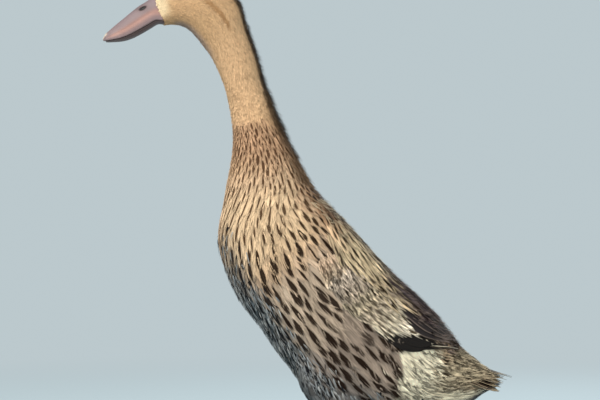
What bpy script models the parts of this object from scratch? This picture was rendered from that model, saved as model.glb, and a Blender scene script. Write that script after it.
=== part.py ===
"""A life-size still model of an upright laying duck with mottled brown plumage.

The bird stands on both feet and faces -Y, with +X on its left and +Z up. The origin is on the floor, at the
middle of the bird's length and width. Everything is in metres. The head, neck, torso and tail are lengths of
one lofted trunk, parted by thin gaps. The bill, wings, thighs, shanks, feet and claws are set against them.
"""

import math

import bmesh
import bpy
import numpy as np
from mathutils import Matrix, Vector

MM = 0.001
GAP = 0.3 * MM  # between faces that touch
TORSO_SECTIONS, TORSO_AROUND = 24, 34

# The trunk, from the bill's root to the tail: each station is a flat section through the body, given by its
# dorsal and ventral points (y, z in mm), its half width in mm, how much wider it is above (+) or below (-) its
# middle, and the power of its superellipse (2 is an ellipse, more is squarer).
STATIONS = (
    ("bill_root", -158.0, 515.0, -146.5, 481.5, 13.5, -0.12, 2.5),
    ("lores", -149.0, 523.0, -139.5, 482.0, 15.5, -0.14, 2.3),
    ("brow", -134.0, 530.0, -131.5, 481.0, 18.0, -0.14, 2.1),
    ("crown", -115.0, 533.0, -123.0, 477.0, 20.0, -0.12, 2.0),
    ("occiput", -96.5, 529.0, -115.0, 469.0, 20.0, -0.08, 2.0),
    ("nape", -81.0, 519.0, -108.0, 460.0, 19.0, -0.04, 2.0),
    ("neck_top", -70.2, 505.0, -101.0, 451.0, 18.0, 0.0, 2.0),
    ("neck_high", -62.5, 480.0, -93.0, 436.0, 17.0, 0.0, 2.0),
    ("neck_mid", -51.7, 449.0, -85.0, 416.0, 17.0, 0.0, 2.0),
    ("neck_low", -43.8, 420.0, -80.0, 395.0, 18.0, 0.0, 2.0),
    ("neck_base", -32.8, 393.0, -77.0, 373.0, 21.5, 0.0, 2.0),
    ("collar", -16.3, 359.0, -77.5, 347.0, 29.0, 0.0, 2.0),
    ("shoulder", 5.5, 317.0, -86.0, 300.0, 42.0, 0.02, 2.0),
    ("chest", 15.5, 301.0, -92.5, 256.0, 51.0, 0.0, 2.05),
    ("breast", 28.5, 285.5, -83.5, 221.5, 55.0, -0.02, 2.1),
    ("midbody", 43.0, 269.0, -67.0, 188.5, 57.0, -0.02, 2.1),
    ("flank", 57.5, 252.5, -50.0, 168.0, 57.5, -0.01, 2.1),
    ("belly", 71.5, 236.5, -36.0, 147.0, 57.0, 0.0, 2.1),
    ("groin", 93.0, 214.0, -17.0, 122.0, 56.0, 0.02, 2.1),
    ("hip", 116.5, 193.0, 2.0, 97.0, 54.0, 0.04, 2.1),
    ("abdomen", 137.5, 172.5, 38.0, 66.0, 49.0, 0.06, 2.05),
    ("vent", 151.5, 156.0, 85.0, 60.5, 40.0, 0.06, 2.0),
    ("tail_root", 162.5, 144.5, 132.0, 69.5, 31.0, 0.05, 2.0),
    ("tail_mid", 174.0, 134.5, 166.0, 81.0, 25.0, 0.0, 2.0),
    ("tail_end", 187.0, 125.0, 186.0, 95.0, 19.0, 0.0, 2.2),
)
NAMES = [row[0] for row in STATIONS]
ROWS = np.array([row[1:] for row in STATIONS])
ROWS[:, :5] *= MM

# The bill's sections, from behind its root to its tip: top and tomium (y, z in mm) and half width. The root's
# own section lies on the trunk's first plane, at these shares of its height.
BILL = (
    ("saddle", -166.5, 507.0, -156.5, 486.3, 12.2),
    ("nostril", -174.5, 502.0, -164.5, 482.0, 11.8),
    ("waist", -183.5, 495.0, -175.0, 476.0, 12.0),
    ("flare", -192.5, 487.5, -184.5, 471.0, 13.0),
    ("spoon", -201.0, 480.5, -194.0, 467.5, 13.6),
    ("nail", -208.0, 474.0, -203.5, 465.8, 11.0),
    ("lip", -211.3, 469.8, -209.5, 465.2, 7.0),
    ("tip", -212.6, 467.0, -212.2, 465.2, 2.4),
)
BILL_ROOT_WIDE = 12.4 * MM
BILL_ROOT_TOP, BILL_ROOT_TOMIUM = 0.04, 0.87
JAW_DEPTHS = (3.6, 3.7, 3.9, 4.0, 3.8, 3.2, 2.2, 1.2)  # of the lower jaw in mm, from the root to the lip
JAW_INSET = 1.0 * MM
BILL_POWER = 2.3  # of the superellipse that a section of the bill is half of

EYE_RADIUS = 6.2 * MM
EYE_Y, EYE_Z = -123.5 * MM, 515.5 * MM
EYE_OUT = 2.0 * MM  # how far the ball stands out of the head
LID_RADIUS, LID_THICK = 4.9 * MM, 1.1 * MM
LID_SCALE = (1.18, 0.92, 0.8)  # of the lids' ring along the head, across it and outwards
LID_HEADING = (0.0, -0.86, -0.2)  # the way that the almond of the lids points
NOSTRIL_Y, NOSTRIL_Z = -170.5 * MM, 499.0 * MM
NOSTRIL_SIZE = (2.6, 3.8, 1.5)  # half sizes of its pit in mm: sideways, along the bill, and high
NOSTRIL_OUT = 0.67  # where the pit's middle is, over the bill's half width
NOSTRIL_SLOPE = math.atan2(1, 2)

WING_LOW = (  # the folded wing's lower edge, as degrees round the trunk from the back
    ("shoulder", 38.0), ("chest", 52.0), ("breast", 62.0), ("midbody", 70.0), ("belly", 75.0),
    ("hip", 70.0), ("abdomen", 62.0), ("vent", 46.0), ("tail_root", 28.0),
)
WING_TOP = (
    ("shoulder", 14.0), ("chest", 9.0), ("breast", 6.0), ("midbody", 4.5), ("belly", 4.0),
    ("hip", 4.0), ("abdomen", 4.5), ("vent", 6.0), ("tail_root", 9.0),
)
WING_BULGE = (  # how far the folded wing's core stands out of the trunk, in mm
    ("shoulder", 0.8), ("chest", 3.2), ("breast", 4.8), ("midbody", 5.4), ("belly", 5.2),
    ("hip", 4.2), ("abdomen", 3.4), ("vent", 2.6), ("tail_root", 1.6),
)
WING_FRONT, WING_BACK = 266.0 * MM, 532.0 * MM  # distances along the trunk
WING_LAST = 549.0 * MM  # no feather of the wing reaches further along the trunk than this
WING_SECTIONS, WING_STRIPS = 12, 7  # points along and across the core
WING_GAP = 0.5 * MM  # between the wing's inner face and the trunk's curve
VANE_THICK = 0.65 * MM
VANE_SHARES = (0.0, 0.45, 0.85, 1.0)  # where a feather's sections lie along it
VANE_ROOT = -1.2 * MM  # a feather's root lies this far under the face that it grows from
VANE_TILT = 0.75 * MM  # a feather's lower edge is this much higher, so that it lies over its neighbour
MIDLINE = math.radians(1.6)  # no feather of a wing comes nearer to the back's middle than this
VANE_LAP = 1.38  # a feather's width over the distance to the next one in its row
VANE_OUTLINE = (  # places along a feather, and its half width there over its widest
    (0.0, 0.25, 0.5, 0.8, 0.93, 1.0),
    (0.3, 0.72, 0.98, 0.94, 0.66, 0.16),
)
# rows of wing feathers: distance of the roots (mm), how it changes to the top of the row, number of feathers,
# lowest and highest place across the wing (0 its lower edge, 1 its upper one), length in mm, and the height of
# the tips over the core
WING_ROWS = (
    ("lesser coverts", 318, 4, 4, 0.10, 0.60, 38, 1.4),
    ("median coverts", 346, 4, 4, 0.09, 0.60, 42, 1.6),
    ("greater coverts", 376, 8, 5, 0.07, 0.60, 50, 1.9),
    ("secondaries", 414, 8, 4, 0.08, 0.42, 72, 1.3),
    ("primaries", 478, 8, 3, 0.14, 0.34, 66, 1.0),
    ("tertials", 412, 8, 3, 0.55, 0.87, 110, 2.2),
    ("scapulars", 300, 2, 2, 0.76, 0.92, 48, 2.0),
    ("scapulars", 336, 2, 2, 0.75, 0.92, 54, 2.2),
    ("scapulars", 378, 2, 2, 0.75, 0.92, 58, 2.4),
)

TAIL_CORE_INSET = 1.0 * MM
TAIL_CORE_END = 586.0 * MM
TAIL_BLUNT = 0.6  # the core's blunt end over its last section
TAIL_BLUNT_SHIFT = (0.0, 4.0 * MM, -1.5 * MM)
RECTRICES = 6  # tail feathers on each side
RECTRIX_WIDE = 6.6 * MM  # half of one's width
RECTRIX_ROOT = (2.6, 3.0, 166.0, 129.5, -3.4)  # x, x a feather, y, z, z a feather, in mm
RECTRIX_TIP = (4.2, 5.0, 212.5, -2.3, 114.8, -2.7)  # x, x a feather, y, y a feather, z, z a feather, in mm
RECTRIX_ROOF = (3.0, 3.0)  # slope of the middle feather to the side, and what each next one adds, in degrees
LEFT_OVER_RIGHT = 0.6 * MM  # the left fan is this much higher and the right one lower
TAIL_COVERT_ROWS = (  # distance of the roots, first and last angle round the trunk, number, length, width
    (555.0, 15.0, 62.0, 3, 32.0, 16.0),
    (559.0, 116.0, 158.0, 3, 32.0, 15.0),
)
TAIL_COVERT_TOP = 1.6 * MM  # height of their tips over the core

HIP_HALF = 33.0 * MM  # half the distance between the legs
STAGGER = 5.0 * MM  # the left foot stands this much further forward, the right one as much back
THIGH = (  # feathered thigh, from inside the body down to the hock: y, z, half width, half length in mm
    (16.0, 142.0, 9.0, 19.0), (23.0, 122.0, 14.0, 27.0), (30.0, 104.0, 17.5, 31.0), (36.5, 88.0, 17.0, 27.0),
    (41.5, 76.0, 13.0, 18.5), (44.5, 69.0, 10.0, 12.5), (46.0, 64.5, 8.4, 9.4),
)
SHANK = (  # from the ankle up to the hock: z, half width, half length in mm
    (20.0, 3.9, 4.7), (25.0, 3.6, 4.4), (32.0, 3.5, 4.3), (40.0, 3.7, 4.5), (47.0, 4.2, 5.1), (53.0, 5.0, 6.1),
    (57.5, 5.6, 6.8), (61.0, 5.7, 6.8), (64.2, 5.2, 6.2),
)
STEM = ((8.0, 4.8, 5.0), (10.5, 5.2, 5.5), (14.5, 4.6, 5.2), (19.7, 4.0, 4.8))  # of the foot, likewise
HOCK_Y, HOCK_Z = 45.5 * MM, 60.0 * MM
ANKLE_Y, ANKLE_Z = 33.0 * MM, 9.5 * MM
TOES = (  # name, length to the claw, turn outwards in degrees, root radius
    ("inner", 44.0 * MM, -25.0, 3.5 * MM),
    ("middle", 56.0 * MM, 3.0, 3.9 * MM),
    ("outer", 52.0 * MM, 30.0, 3.6 * MM),
)
TOE_SLIM = 0.72  # a toe's end over its root
TOE_SECTIONS = 7
TOE_ARCH = 3.0 * MM  # how far a toe's root is lifted off the floor
TOE_SINK = 0.88  # a toe's middle stands at this share of its radius, so that the floor cuts a flat
HIND_TOE = (  # inwards, backwards and height of each end
    (2.5 * MM, 0.0, 8.5 * MM),
    (4.0 * MM, 12.5 * MM, 5.5 * MM),
)
HIND_RADII = (2.4 * MM, 1.7 * MM)
CLAW, HIND_CLAW = 7.0 * MM, 4.6 * MM
CLAW_ROOT = 0.8  # a claw's root over the toe's end
CLAW_HUMP = 3.2 * MM
CLAW_SLIM, CLAW_DROOP = 0.84, 0.45  # how much thinner and lower a claw is at its tip
WEB_THICK, WEB_LOW = 1.5 * MM, 0.5 * MM
WEB_HUMP = 1.0 * MM
WEB_START, WEB_REACH, WEB_SCALLOP = 0.1, 0.97, 0.16  # along the toes, and how hollow its edge is

COLOURS = {  # name: linear colour and roughness
    "plumage_buff": ((0.55, 0.36, 0.19), 0.8),
    "plumage_mottled": ((0.36, 0.25, 0.15), 0.8),
    "bill_horn": ((0.40, 0.27, 0.26), 0.45),
    "eye": ((0.02, 0.01, 0.008), 0.1),
    "leg_skin": ((0.42, 0.20, 0.07), 0.5),
    "claw_horn": ((0.05, 0.04, 0.035), 0.4),
}

for old in list(bpy.data.objects):
    bpy.data.objects.remove(old)
BIRD = bpy.data.collections.new("laying_duck")
HELPERS = bpy.data.collections.new("helpers")
for collection in (BIRD, HELPERS):
    bpy.context.scene.collection.children.link(collection)


def material(name):
    """The Principled material of that name, made the first time it is asked for."""
    found = bpy.data.materials.get(name)
    if found:
        return found
    colour, roughness = COLOURS[name]
    made = bpy.data.materials.new(name)
    made.use_nodes = True
    shader = made.node_tree.nodes["Principled BSDF"]
    shader.inputs["Base Color"].default_value = (*colour, 1)
    shader.inputs["Roughness"].default_value = roughness
    return made


def smooth(knots, rows, at):
    """The rows read at any place along the knots, by a cubic through them all."""
    step = np.diff(knots)
    slope = np.diff(rows, axis=0) / step[:, None]
    weight = (step[:-1] + step[1:])[:, None]
    inner = (slope[:-1] * step[1:, None] + slope[1:] * step[:-1, None]) / weight
    slopes = np.vstack([slope[:1], inner, slope[-1:]])
    at = np.asarray(at, float)
    i = np.clip(np.searchsorted(knots, at, side="right") - 1, 0, len(step) - 1)
    u = ((at - knots[i]) / step[i])[..., None]
    d = step[i][..., None]
    return (
        rows[i] * (1 + 2 * u) * (1 - u) ** 2
        + slopes[i] * d * u * (1 - u) ** 2
        + rows[i + 1] * u * u * (3 - 2 * u)
        + slopes[i + 1] * d * u * u * (u - 1)
    )


def distances(rows):
    """How far each section's middle lies from the first one's, along the body."""
    middle = (rows[:, 0:2] + rows[:, 2:4]) / 2
    return np.concatenate([[0], np.cumsum(np.linalg.norm(np.diff(middle, axis=0), axis=1))])


KNOTS = distances(ROWS)
AT = dict(zip(NAMES, KNOTS))


def on_trunk(s, angle, height=0.0):
    """Points on the trunk at distance s and an angle (0 the back, pi/2 the left side), raised by height."""
    s, angle, height = np.broadcast_arrays(*(np.asarray(v, float) for v in (s, angle, height)))
    row = smooth(KNOTS, ROWS, s)
    top, low = row[..., 0:2], row[..., 2:4]
    wide, egg, power = row[..., 4], row[..., 5], row[..., 6]
    half = np.linalg.norm(top - low, axis=-1) / 2
    up = (top - low) / (2 * half)[..., None]
    cos, sin = np.cos(angle), np.sin(angle)
    cos = np.sign(cos) * np.abs(cos) ** (2 / power)
    sin = np.sign(sin) * np.abs(sin) ** (2 / power)
    x = (wide + height) * sin * (1 + egg * cos)
    yz = (top + low) / 2 + up * ((half + height) * cos)[..., None]
    return np.concatenate([x[..., None], yz], axis=-1)


def by_station(table, s):
    """A value listed by station name, read at distance s."""
    knots = np.array([AT[name] for name, _ in table])
    values = np.array([[value] for _, value in table])
    return smooth(knots, values, np.clip(s, knots[0], knots[-1]))[..., 0]


def mesh_object(name, points, faces, finish=None, collection=None):
    """A new object of these points and faces, its faces turned outwards."""
    data = bpy.data.meshes.new(name)
    data.from_pydata([tuple(map(float, p)) for p in points], [], [tuple(map(int, f)) for f in faces])
    work = bmesh.new()
    work.from_mesh(data)
    bmesh.ops.recalc_face_normals(work, faces=work.faces)
    work.to_mesh(data)
    work.free()
    made = bpy.data.objects.new(name, data)
    (collection or HELPERS).objects.link(made)
    if finish:
        data.materials.append(material(finish))
    return made


def loft(name, rings, finish=None, collection=None):
    """A closed solid through rings of equal count, with a flat cap at each end."""
    rings = np.asarray(rings)
    count, around = rings.shape[:2]
    ring, step = np.meshgrid(np.arange(count - 1), np.arange(around), indexing="ij")
    here, beside = ring * around + step, ring * around + (step + 1) % around
    faces = np.stack([here, beside, beside + around, here + around], axis=-1).reshape(-1, 4).tolist()
    faces.append(list(range(around))[::-1])
    faces.append(list(range((count - 1) * around, count * around)))
    return mesh_object(name, rings.reshape(-1, 3), faces, finish, collection)


def slab(name, over, under, finish=None, collection=None):
    """A closed solid between two like grids of points, both split into triangles the same way."""
    rows, columns = over.shape[:2]
    i, j = np.meshgrid(np.arange(rows - 1), np.arange(columns - 1), indexing="ij")
    a = (i * columns + j).ravel()
    b, c, d = a + columns, a + columns + 1, a + 1
    left = (j.ravel() < (columns - 1) / 2)[:, None]
    first = np.where(left, np.stack([a, b, c], 1), np.stack([a, b, d], 1))
    second = np.where(left, np.stack([a, c, d], 1), np.stack([b, c, d], 1))
    face = np.concatenate([first, second])
    rim = np.concatenate([
        np.arange(columns - 1),
        (np.arange(rows - 1) + 1) * columns - 1,
        rows * columns - 1 - np.arange(columns - 1),
        (rows - 1 - np.arange(rows - 1)) * columns,
    ])
    beside, below = np.roll(rim, -1), rows * columns
    walls = np.concatenate([
        np.stack([rim, beside, beside + below], 1),
        np.stack([rim, beside + below, rim + below], 1),
    ])
    faces = np.concatenate([face, face[:, ::-1] + below, walls])
    points = np.concatenate([over.reshape(-1, 3), under.reshape(-1, 3)])
    return mesh_object(name, points, faces.tolist(), finish, collection)


def tube(name, path, radii, around=12, finish=None, collection=None):
    """A round bar along a path of points with a radius at each, its rings upright and square to its plan."""
    path, radii = np.asarray(path, float), np.asarray(radii, float)
    heading = np.gradient(path[:, :2], axis=0)
    heading /= np.linalg.norm(heading, axis=1)[:, None]
    side = np.column_stack([heading[:, 1], -heading[:, 0], 0 * radii])
    turn = np.arange(around) * 2 * math.pi / around
    rings = (
        path[:, None]
        + side[:, None] * (radii[:, None] * np.cos(turn))[..., None]
        + np.array([0.0, 0.0, 1.0]) * (radii[:, None] * np.sin(turn))[..., None]
    )
    return loft(name, rings, finish, collection)


def column(name, rows, around, finish=None, collection=None):
    """A solid of level ellipses, given by rows of middle x, y, z, half width and half length."""
    turn = np.arange(around) * 2 * math.pi / around
    x, y, z, wide, long = np.asarray(rows, float).T[..., None]
    rings = np.stack([x + wide * np.cos(turn), y + long * np.sin(turn), z + 0 * turn], axis=-1)
    return loft(name, rings, finish, collection)


def settle(base):
    """Replaces an object's mesh by what its modifiers make of it."""
    graph = bpy.context.evaluated_depsgraph_get()
    made = bpy.data.meshes.new_from_object(base.evaluated_get(graph))
    base.modifiers.clear()
    base.data = made


def keep_largest(base):
    """Drops every closed surface of the mesh but the one with the most volume."""
    work = bmesh.new()
    work.from_mesh(base.data)
    left, shells = set(work.faces), []
    while left:
        shell, edge = set(), [left.pop()]
        while edge:
            face = edge.pop()
            shell.add(face)
            near = {f for e in face.edges for f in e.link_faces if f in left}
            left -= near
            edge.extend(near)
        shells.append(shell)

    def volume(shell):
        return abs(sum(f.calc_center_median().dot(f.normal) * f.calc_area() for f in shell))

    best = max(shells, key=volume)
    bmesh.ops.delete(work, geom=[f for f in work.faces if f not in best], context="FACES")
    bmesh.ops.recalc_face_normals(work, faces=work.faces)
    work.to_mesh(base.data)
    work.free()


def fuse(base, pieces, solver="EXACT"):
    """Joins the pieces to the base in one union, and removes them."""
    group = bpy.data.collections.new("fusing")
    bpy.context.scene.collection.children.link(group)
    for piece in pieces:
        group.objects.link(piece)
    joint = base.modifiers.new("fuse", "BOOLEAN")
    joint.operation, joint.operand_type, joint.solver = "UNION", "COLLECTION", solver
    joint.collection = group
    settle(base)
    for piece in pieces:
        bpy.data.objects.remove(piece)
    bpy.data.collections.remove(group)
    keep_largest(base)


def cut(base, cutter, solver="EXACT", keep=False):
    """Takes the cutter's space out of the base, and removes the cutter unless it is kept."""
    knife = base.modifiers.new("cut", "BOOLEAN")
    knife.operation, knife.object, knife.solver = "DIFFERENCE", cutter, solver
    settle(base)
    keep_largest(base)
    if not keep:
        bpy.data.objects.remove(cutter)


def finished(obj, sharp=math.radians(50)):
    """Shades a node smooth except at its sharp edges."""
    obj.data.shade_smooth()
    obj.data.set_sharp_from_angle(angle=sharp)
    return obj


def trunk_rings(start, end, count, around, height=0.0):
    """The trunk's sections from one distance to another."""
    s = np.linspace(start, end, count)[:, None]
    turn = np.arange(around)[None] * 2 * math.pi / around
    return on_trunk(s, turn, height)


def eye_frame(side):
    """The middle of one eye's ball, and the outward direction of the head there."""
    along = np.linspace(AT["lores"], AT["occiput"], 80)
    s, a = np.meshgrid(along, np.radians(np.arange(20, 120)), indexing="ij")
    points = on_trunk(s, a)
    miss = np.hypot(points[..., 1] - EYE_Y, points[..., 2] - EYE_Z)
    i = np.unravel_index(miss.argmin(), miss.shape)
    here, step = points[i], 0.5 * MM
    ahead = on_trunk(s[i] + step, a[i]) - here
    across = on_trunk(s[i], a[i] + 0.02) - here
    out = np.cross(across, ahead)
    out *= np.sign(out[0]) / np.linalg.norm(out)
    middle = here - out * (EYE_RADIUS - EYE_OUT)
    flip = np.array([side, 1, 1])
    return Vector(middle * flip), Vector(out * flip)


def ball(name, middle, radius, segments=20, rings=14, scale=(1, 1, 1), turn=None):
    """A sphere, or an ellipsoid along its own turned axes."""
    work = bmesh.new()
    bmesh.ops.create_uvsphere(work, u_segments=segments, v_segments=rings, radius=radius)
    place = Matrix.Translation(middle) @ (turn or Matrix.Identity(4)) @ Matrix.Diagonal((*scale, 1))
    bmesh.ops.transform(work, matrix=place, verts=work.verts)
    data = bpy.data.meshes.new(name)
    work.to_mesh(data)
    work.free()
    made = bpy.data.objects.new(name, data)
    HELPERS.objects.link(made)
    return made


def make_eye(side, word):
    """A whole eyeball, which stands in its round socket."""
    middle, _ = eye_frame(side)
    eye = ball(f"eye_{word}", middle, EYE_RADIUS, 14, 10)
    HELPERS.objects.unlink(eye)
    BIRD.objects.link(eye)
    eye.data.materials.append(material("eye"))
    return finished(eye)


def lid_ring(side):
    """The rim of both lids round one eye, an almond ring laid on the head."""
    middle, out = eye_frame(side)
    bpy.ops.mesh.primitive_torus_add(
        major_segments=20, minor_segments=6, major_radius=LID_RADIUS, minor_radius=LID_THICK
    )
    ring = bpy.context.object
    along_head = Vector(LID_HEADING)
    long_way = (along_head - out * along_head.dot(out)).normalized()
    axes = Matrix((long_way, out.cross(long_way), out)).transposed().to_4x4()
    place = Matrix.Translation(middle + out * (EYE_RADIUS - EYE_OUT)) @ axes
    ring.data.transform(place @ Matrix.Diagonal((*LID_SCALE, 1)))
    ring.matrix_world = Matrix.Identity(4)
    return ring


def make_head():
    """The head from the bill's root to the top of the neck, with lids round two sockets."""
    rings = trunk_rings(0.0, AT["neck_top"] - GAP, 18, 32)
    head = loft("head", rings, "plumage_buff", BIRD)
    fuse(head, [lid_ring(side) for side in (1, -1)])
    for side in (1, -1):
        middle, _ = eye_frame(side)
        cut(head, ball("socket", middle, EYE_RADIUS + GAP, 16, 12))
    return finished(head)


def bill_sections():
    """Top and tomium points and half widths of the bill, from its root on the head's first plane."""
    dorsal, ventral = ROWS[0, 0:2], ROWS[0, 2:4]
    away = np.array([ventral[1] - dorsal[1], dorsal[0] - ventral[0]])
    away *= GAP / np.linalg.norm(away)
    root = [dorsal + (ventral - dorsal) * share + away for share in (BILL_ROOT_TOP, BILL_ROOT_TOMIUM)]
    rows = [[*root[0], *root[1], BILL_ROOT_WIDE]]
    rows += [[value * MM for value in row[1:]] for row in BILL]
    return np.array(rows)


def bill_rings(rows, depths, inset, around):
    """Rings flat along the tomium, with half a superellipse over it, or under it where a depth is given."""
    turn = np.linspace(-math.pi / 2, math.pi / 2, around)
    sin = np.sign(np.sin(turn)) * np.abs(np.sin(turn)) ** (2 / BILL_POWER)
    cos = np.abs(np.cos(turn)) ** (2 / BILL_POWER)
    rings = []
    for (top_y, top_z, low_y, low_z, wide), depth in zip(rows, depths):
        low = np.array([low_y, low_z])
        up = np.array([top_y, top_z]) - low
        tall = np.linalg.norm(up)
        up /= tall
        rise = tall if depth is None else -depth
        start = low if depth is None else low - up * GAP
        yz = start + up * (rise * cos)[:, None]
        rings.append(np.column_stack([(wide - inset) * sin, yz]))
    return np.array(rings)


def make_bill():
    """The upper bill with a nostril pit on each side, and the lower jaw under it."""
    rows = bill_sections()
    knots = distances(rows)
    fine = np.concatenate([np.linspace(0, knots[-3], 17), np.linspace(knots[-3], knots[-1], 5)[1:]])
    rings = bill_rings(smooth(knots, rows, fine), [None] * len(fine), 0.0, 17)
    upper = loft("bill_upper", rings, "bill_horn", BIRD)
    wide = float(np.interp(NOSTRIL_Y, rows[::-1, 0], rows[::-1, 4]))
    for side in (1, -1):
        middle = Vector((side * wide * NOSTRIL_OUT, NOSTRIL_Y, NOSTRIL_Z))
        cut(upper, ball("nostril", middle, MM, 12, 8, NOSTRIL_SIZE, Matrix.Rotation(NOSTRIL_SLOPE, 4, "X")))
    jaw_rows = smooth(knots, rows, np.linspace(0, knots[-2], 16))
    depths = np.interp(np.linspace(0, 1, 16), np.linspace(0, 1, len(JAW_DEPTHS)), JAW_DEPTHS) * MM
    lower = loft("bill_lower", bill_rings(jaw_rows, depths, JAW_INSET, 13), "bill_horn", BIRD)
    return finished(upper), finished(lower)


def wing_angle(s, r):
    """Radians round the trunk at distance s, from the folded wing's lower edge (r 0) to its upper one (r 1)."""
    return np.radians(by_station(WING_LOW, s) * (1 - r) + by_station(WING_TOP, s) * r)


def wing_share(s, angle):
    """How far up the wing an angle lies, the other way round from wing_angle."""
    low, top = by_station(WING_LOW, s), by_station(WING_TOP, s)
    return (low - np.degrees(angle)) / (low - top)


def wing_height(s, r):
    """How far the folded wing's core stands out of the trunk there."""
    across = 0.5 + 0.5 * np.sin(math.pi * np.clip(0.1 + 0.8 * r, 0, 1))
    return by_station(WING_BULGE, s) * MM * across


def vane_outline(share):
    """A feather's half width along it, as a share of its widest."""
    return np.interp(share, *VANE_OUTLINE)


def trunk_vane(s, angle, wide, lift, side, nearest=0.0, lowest=-1.0):
    """A feather laid on the trunk, given along its shaft: distances, angles and half widths, all in one piece.

    lift tells how high over the trunk its outer face lies, at any distances and angles. Its edge further from
    the back stands higher than that by the tilt, and its other edge lower. Angles under the nearest are raised
    to it, and so is its inner face where it would lie under the lowest height.
    """
    step = math.radians(0.5)
    per_radian = np.linalg.norm(on_trunk(s, angle + step) - on_trunk(s, angle - step), axis=-1) / (2 * step)
    across = np.array([-1.0, 0.0, 1.0])[None]
    turned = np.maximum(angle[:, None] + across * (wide / per_radian)[:, None], nearest)
    s = s[:, None] + 0 * turned
    height = lift(s, turned) + across * VANE_TILT
    height = np.maximum(height, lowest + VANE_THICK)
    flip = np.array([side, 1, 1])
    return slab("vane", on_trunk(s, turned, height) * flip, on_trunk(s, turned, height - VANE_THICK) * flip)


def wing_vanes(side):
    """The tiers of feathers of one folded wing."""
    share = np.array(VANE_SHARES)
    vanes = []
    for _, start, slant, number, low, high, length, top in WING_ROWS:
        for place in np.linspace(low, high, number):
            first = (start + slant * (place - low) / (high - low)) * MM
            s = first + min(length * MM, WING_LAST - first) * share
            beside = on_trunk(s, wing_angle(s, low)) - on_trunk(s, wing_angle(s, high))
            half = np.linalg.norm(beside, axis=1) / (number - 1) * VANE_LAP / 2 * vane_outline(share)
            rise = (VANE_ROOT + (top * MM - VANE_ROOT) * share)[:, None]

            def lift(s, angle):
                return wing_height(s, wing_share(s, angle)) + rise

            vanes.append(trunk_vane(s, wing_angle(s, place), half, lift, side, MIDLINE, WING_GAP))
    return vanes


def make_wing(side, word, cutter):
    """One folded wing: a core that lies on the trunk's side, and its feathers in tiers."""
    s = np.linspace(WING_FRONT, WING_BACK, WING_SECTIONS)[:, None]
    r = np.linspace(0, 1, WING_STRIPS)[None]
    flip = np.array([side, 1, 1])
    outer = on_trunk(s, wing_angle(s, r), wing_height(s, r)) * flip
    inner = on_trunk(s, wing_angle(s, r), -2 * MM) * flip
    wing = slab(f"wing_{word}", outer, inner, "plumage_mottled", BIRD)
    fuse(wing, wing_vanes(side))
    cut(wing, cutter, keep=True)
    return finished(wing)


def leg_middle(side, z):
    """Where the middle of the leg is at a height: x and y on the line from the ankle to the hock."""
    y = ANKLE_Y + (HOCK_Y - ANKLE_Y) * (z - ANKLE_Z) / (HOCK_Z - ANKLE_Z)
    return side * HIP_HALF, y - side * STAGGER


def make_thigh(side, word, cutter):
    """The feathered thigh, which fades into the body's side."""
    rows = np.array(THIGH) * MM
    fine = smooth(-rows[:, 1], rows, np.linspace(-rows[0, 1], -rows[-1, 1], 10))
    rows = [(side * HIP_HALF, y - side * STAGGER, z, wide, long) for y, z, wide, long in fine]
    thigh = column(f"thigh_{word}", rows, 20, "plumage_mottled", BIRD)
    cut(thigh, cutter, keep=True)
    return finished(thigh)


def leg_rows(side, table):
    """Rows for a column along the leg."""
    rows = np.array(table) * MM
    return [(*leg_middle(side, z), z, wide, long) for z, wide, long in rows]


def make_shank(side, word):
    """The bare shank, from over the toes up to the feathers at the hock."""
    return finished(column(f"shank_{word}", leg_rows(side, SHANK), 12, "leg_skin", BIRD))


def toe_path(side, turn, length):
    """Middle points of a toe in plan, and its radii as shares of its root's, thicker at each joint."""
    share = np.linspace(0, 1, TOE_SECTIONS)
    heading = np.array([side * math.sin(math.radians(turn)), -math.cos(math.radians(turn))])
    start = np.array(leg_middle(side, ANKLE_Z)) + heading * 2 * MM
    plan = start + heading * (length * share)[:, None]
    knuckles = 1 + 0.07 * np.cos(share * math.pi * (TOE_SECTIONS - 1))
    return plan, (1 - (1 - TOE_SLIM) * share) * knuckles


def hind_toe(side):
    """Middle points of the short toe behind, from inside the ankle to its end over the floor."""
    x, y = leg_middle(side, ANKLE_Z)
    return [(x - side * inwards, y + back, high) for inwards, back, high in HIND_TOE]


def make_foot(side, word):
    """A webbed foot: three toes forward, one short toe behind, and the web between them."""
    pieces, paths = [], {}
    for name, length, turn, radius in TOES:
        plan, slim = toe_path(side, turn, length)
        radii = radius * slim
        rise = radii * TOE_SINK + TOE_ARCH * np.clip(1 - 4 * np.linspace(0, 1, TOE_SECTIONS), 0, 1)
        paths[name] = np.column_stack([plan, rise])
        pieces.append(tube(f"toe_{name}", paths[name], radii, 10))
    pieces.append(tube("toe_hind", hind_toe(side), HIND_RADII, 8))
    for first, second in (("inner", "middle"), ("middle", "outer")):
        pieces.append(web(paths[first], paths[second]))
    foot = column(f"foot_{word}", leg_rows(side, STEM), 12, "leg_skin", BIRD)
    fuse(foot, pieces, "MANIFOLD")
    bpy.ops.mesh.primitive_cube_add(size=0.4, location=(0, 0, -0.2))
    cut(foot, bpy.context.object, "MANIFOLD")
    return finished(foot)


def web(first, second):
    """The skin between two toes, its front edge a hollow curve."""
    shares = np.linspace(WEB_START, WEB_REACH, 5)[:, None]
    over = np.linspace(0, 1, 5)[None]
    back = shares * (1 - WEB_SCALLOP * np.sin(math.pi * over) * shares)
    knots = np.linspace(0, 1, len(first))
    plan = np.dstack([
        np.interp(back, knots, first[:, k]) * (1 - over) + np.interp(back, knots, second[:, k]) * over
        for k in (0, 1)
    ])
    lift = np.broadcast_to(WEB_LOW + WEB_HUMP * np.sin(math.pi * over), back.shape)
    return slab("web", np.dstack([plan, lift + WEB_THICK]), np.dstack([plan, lift]))


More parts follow.
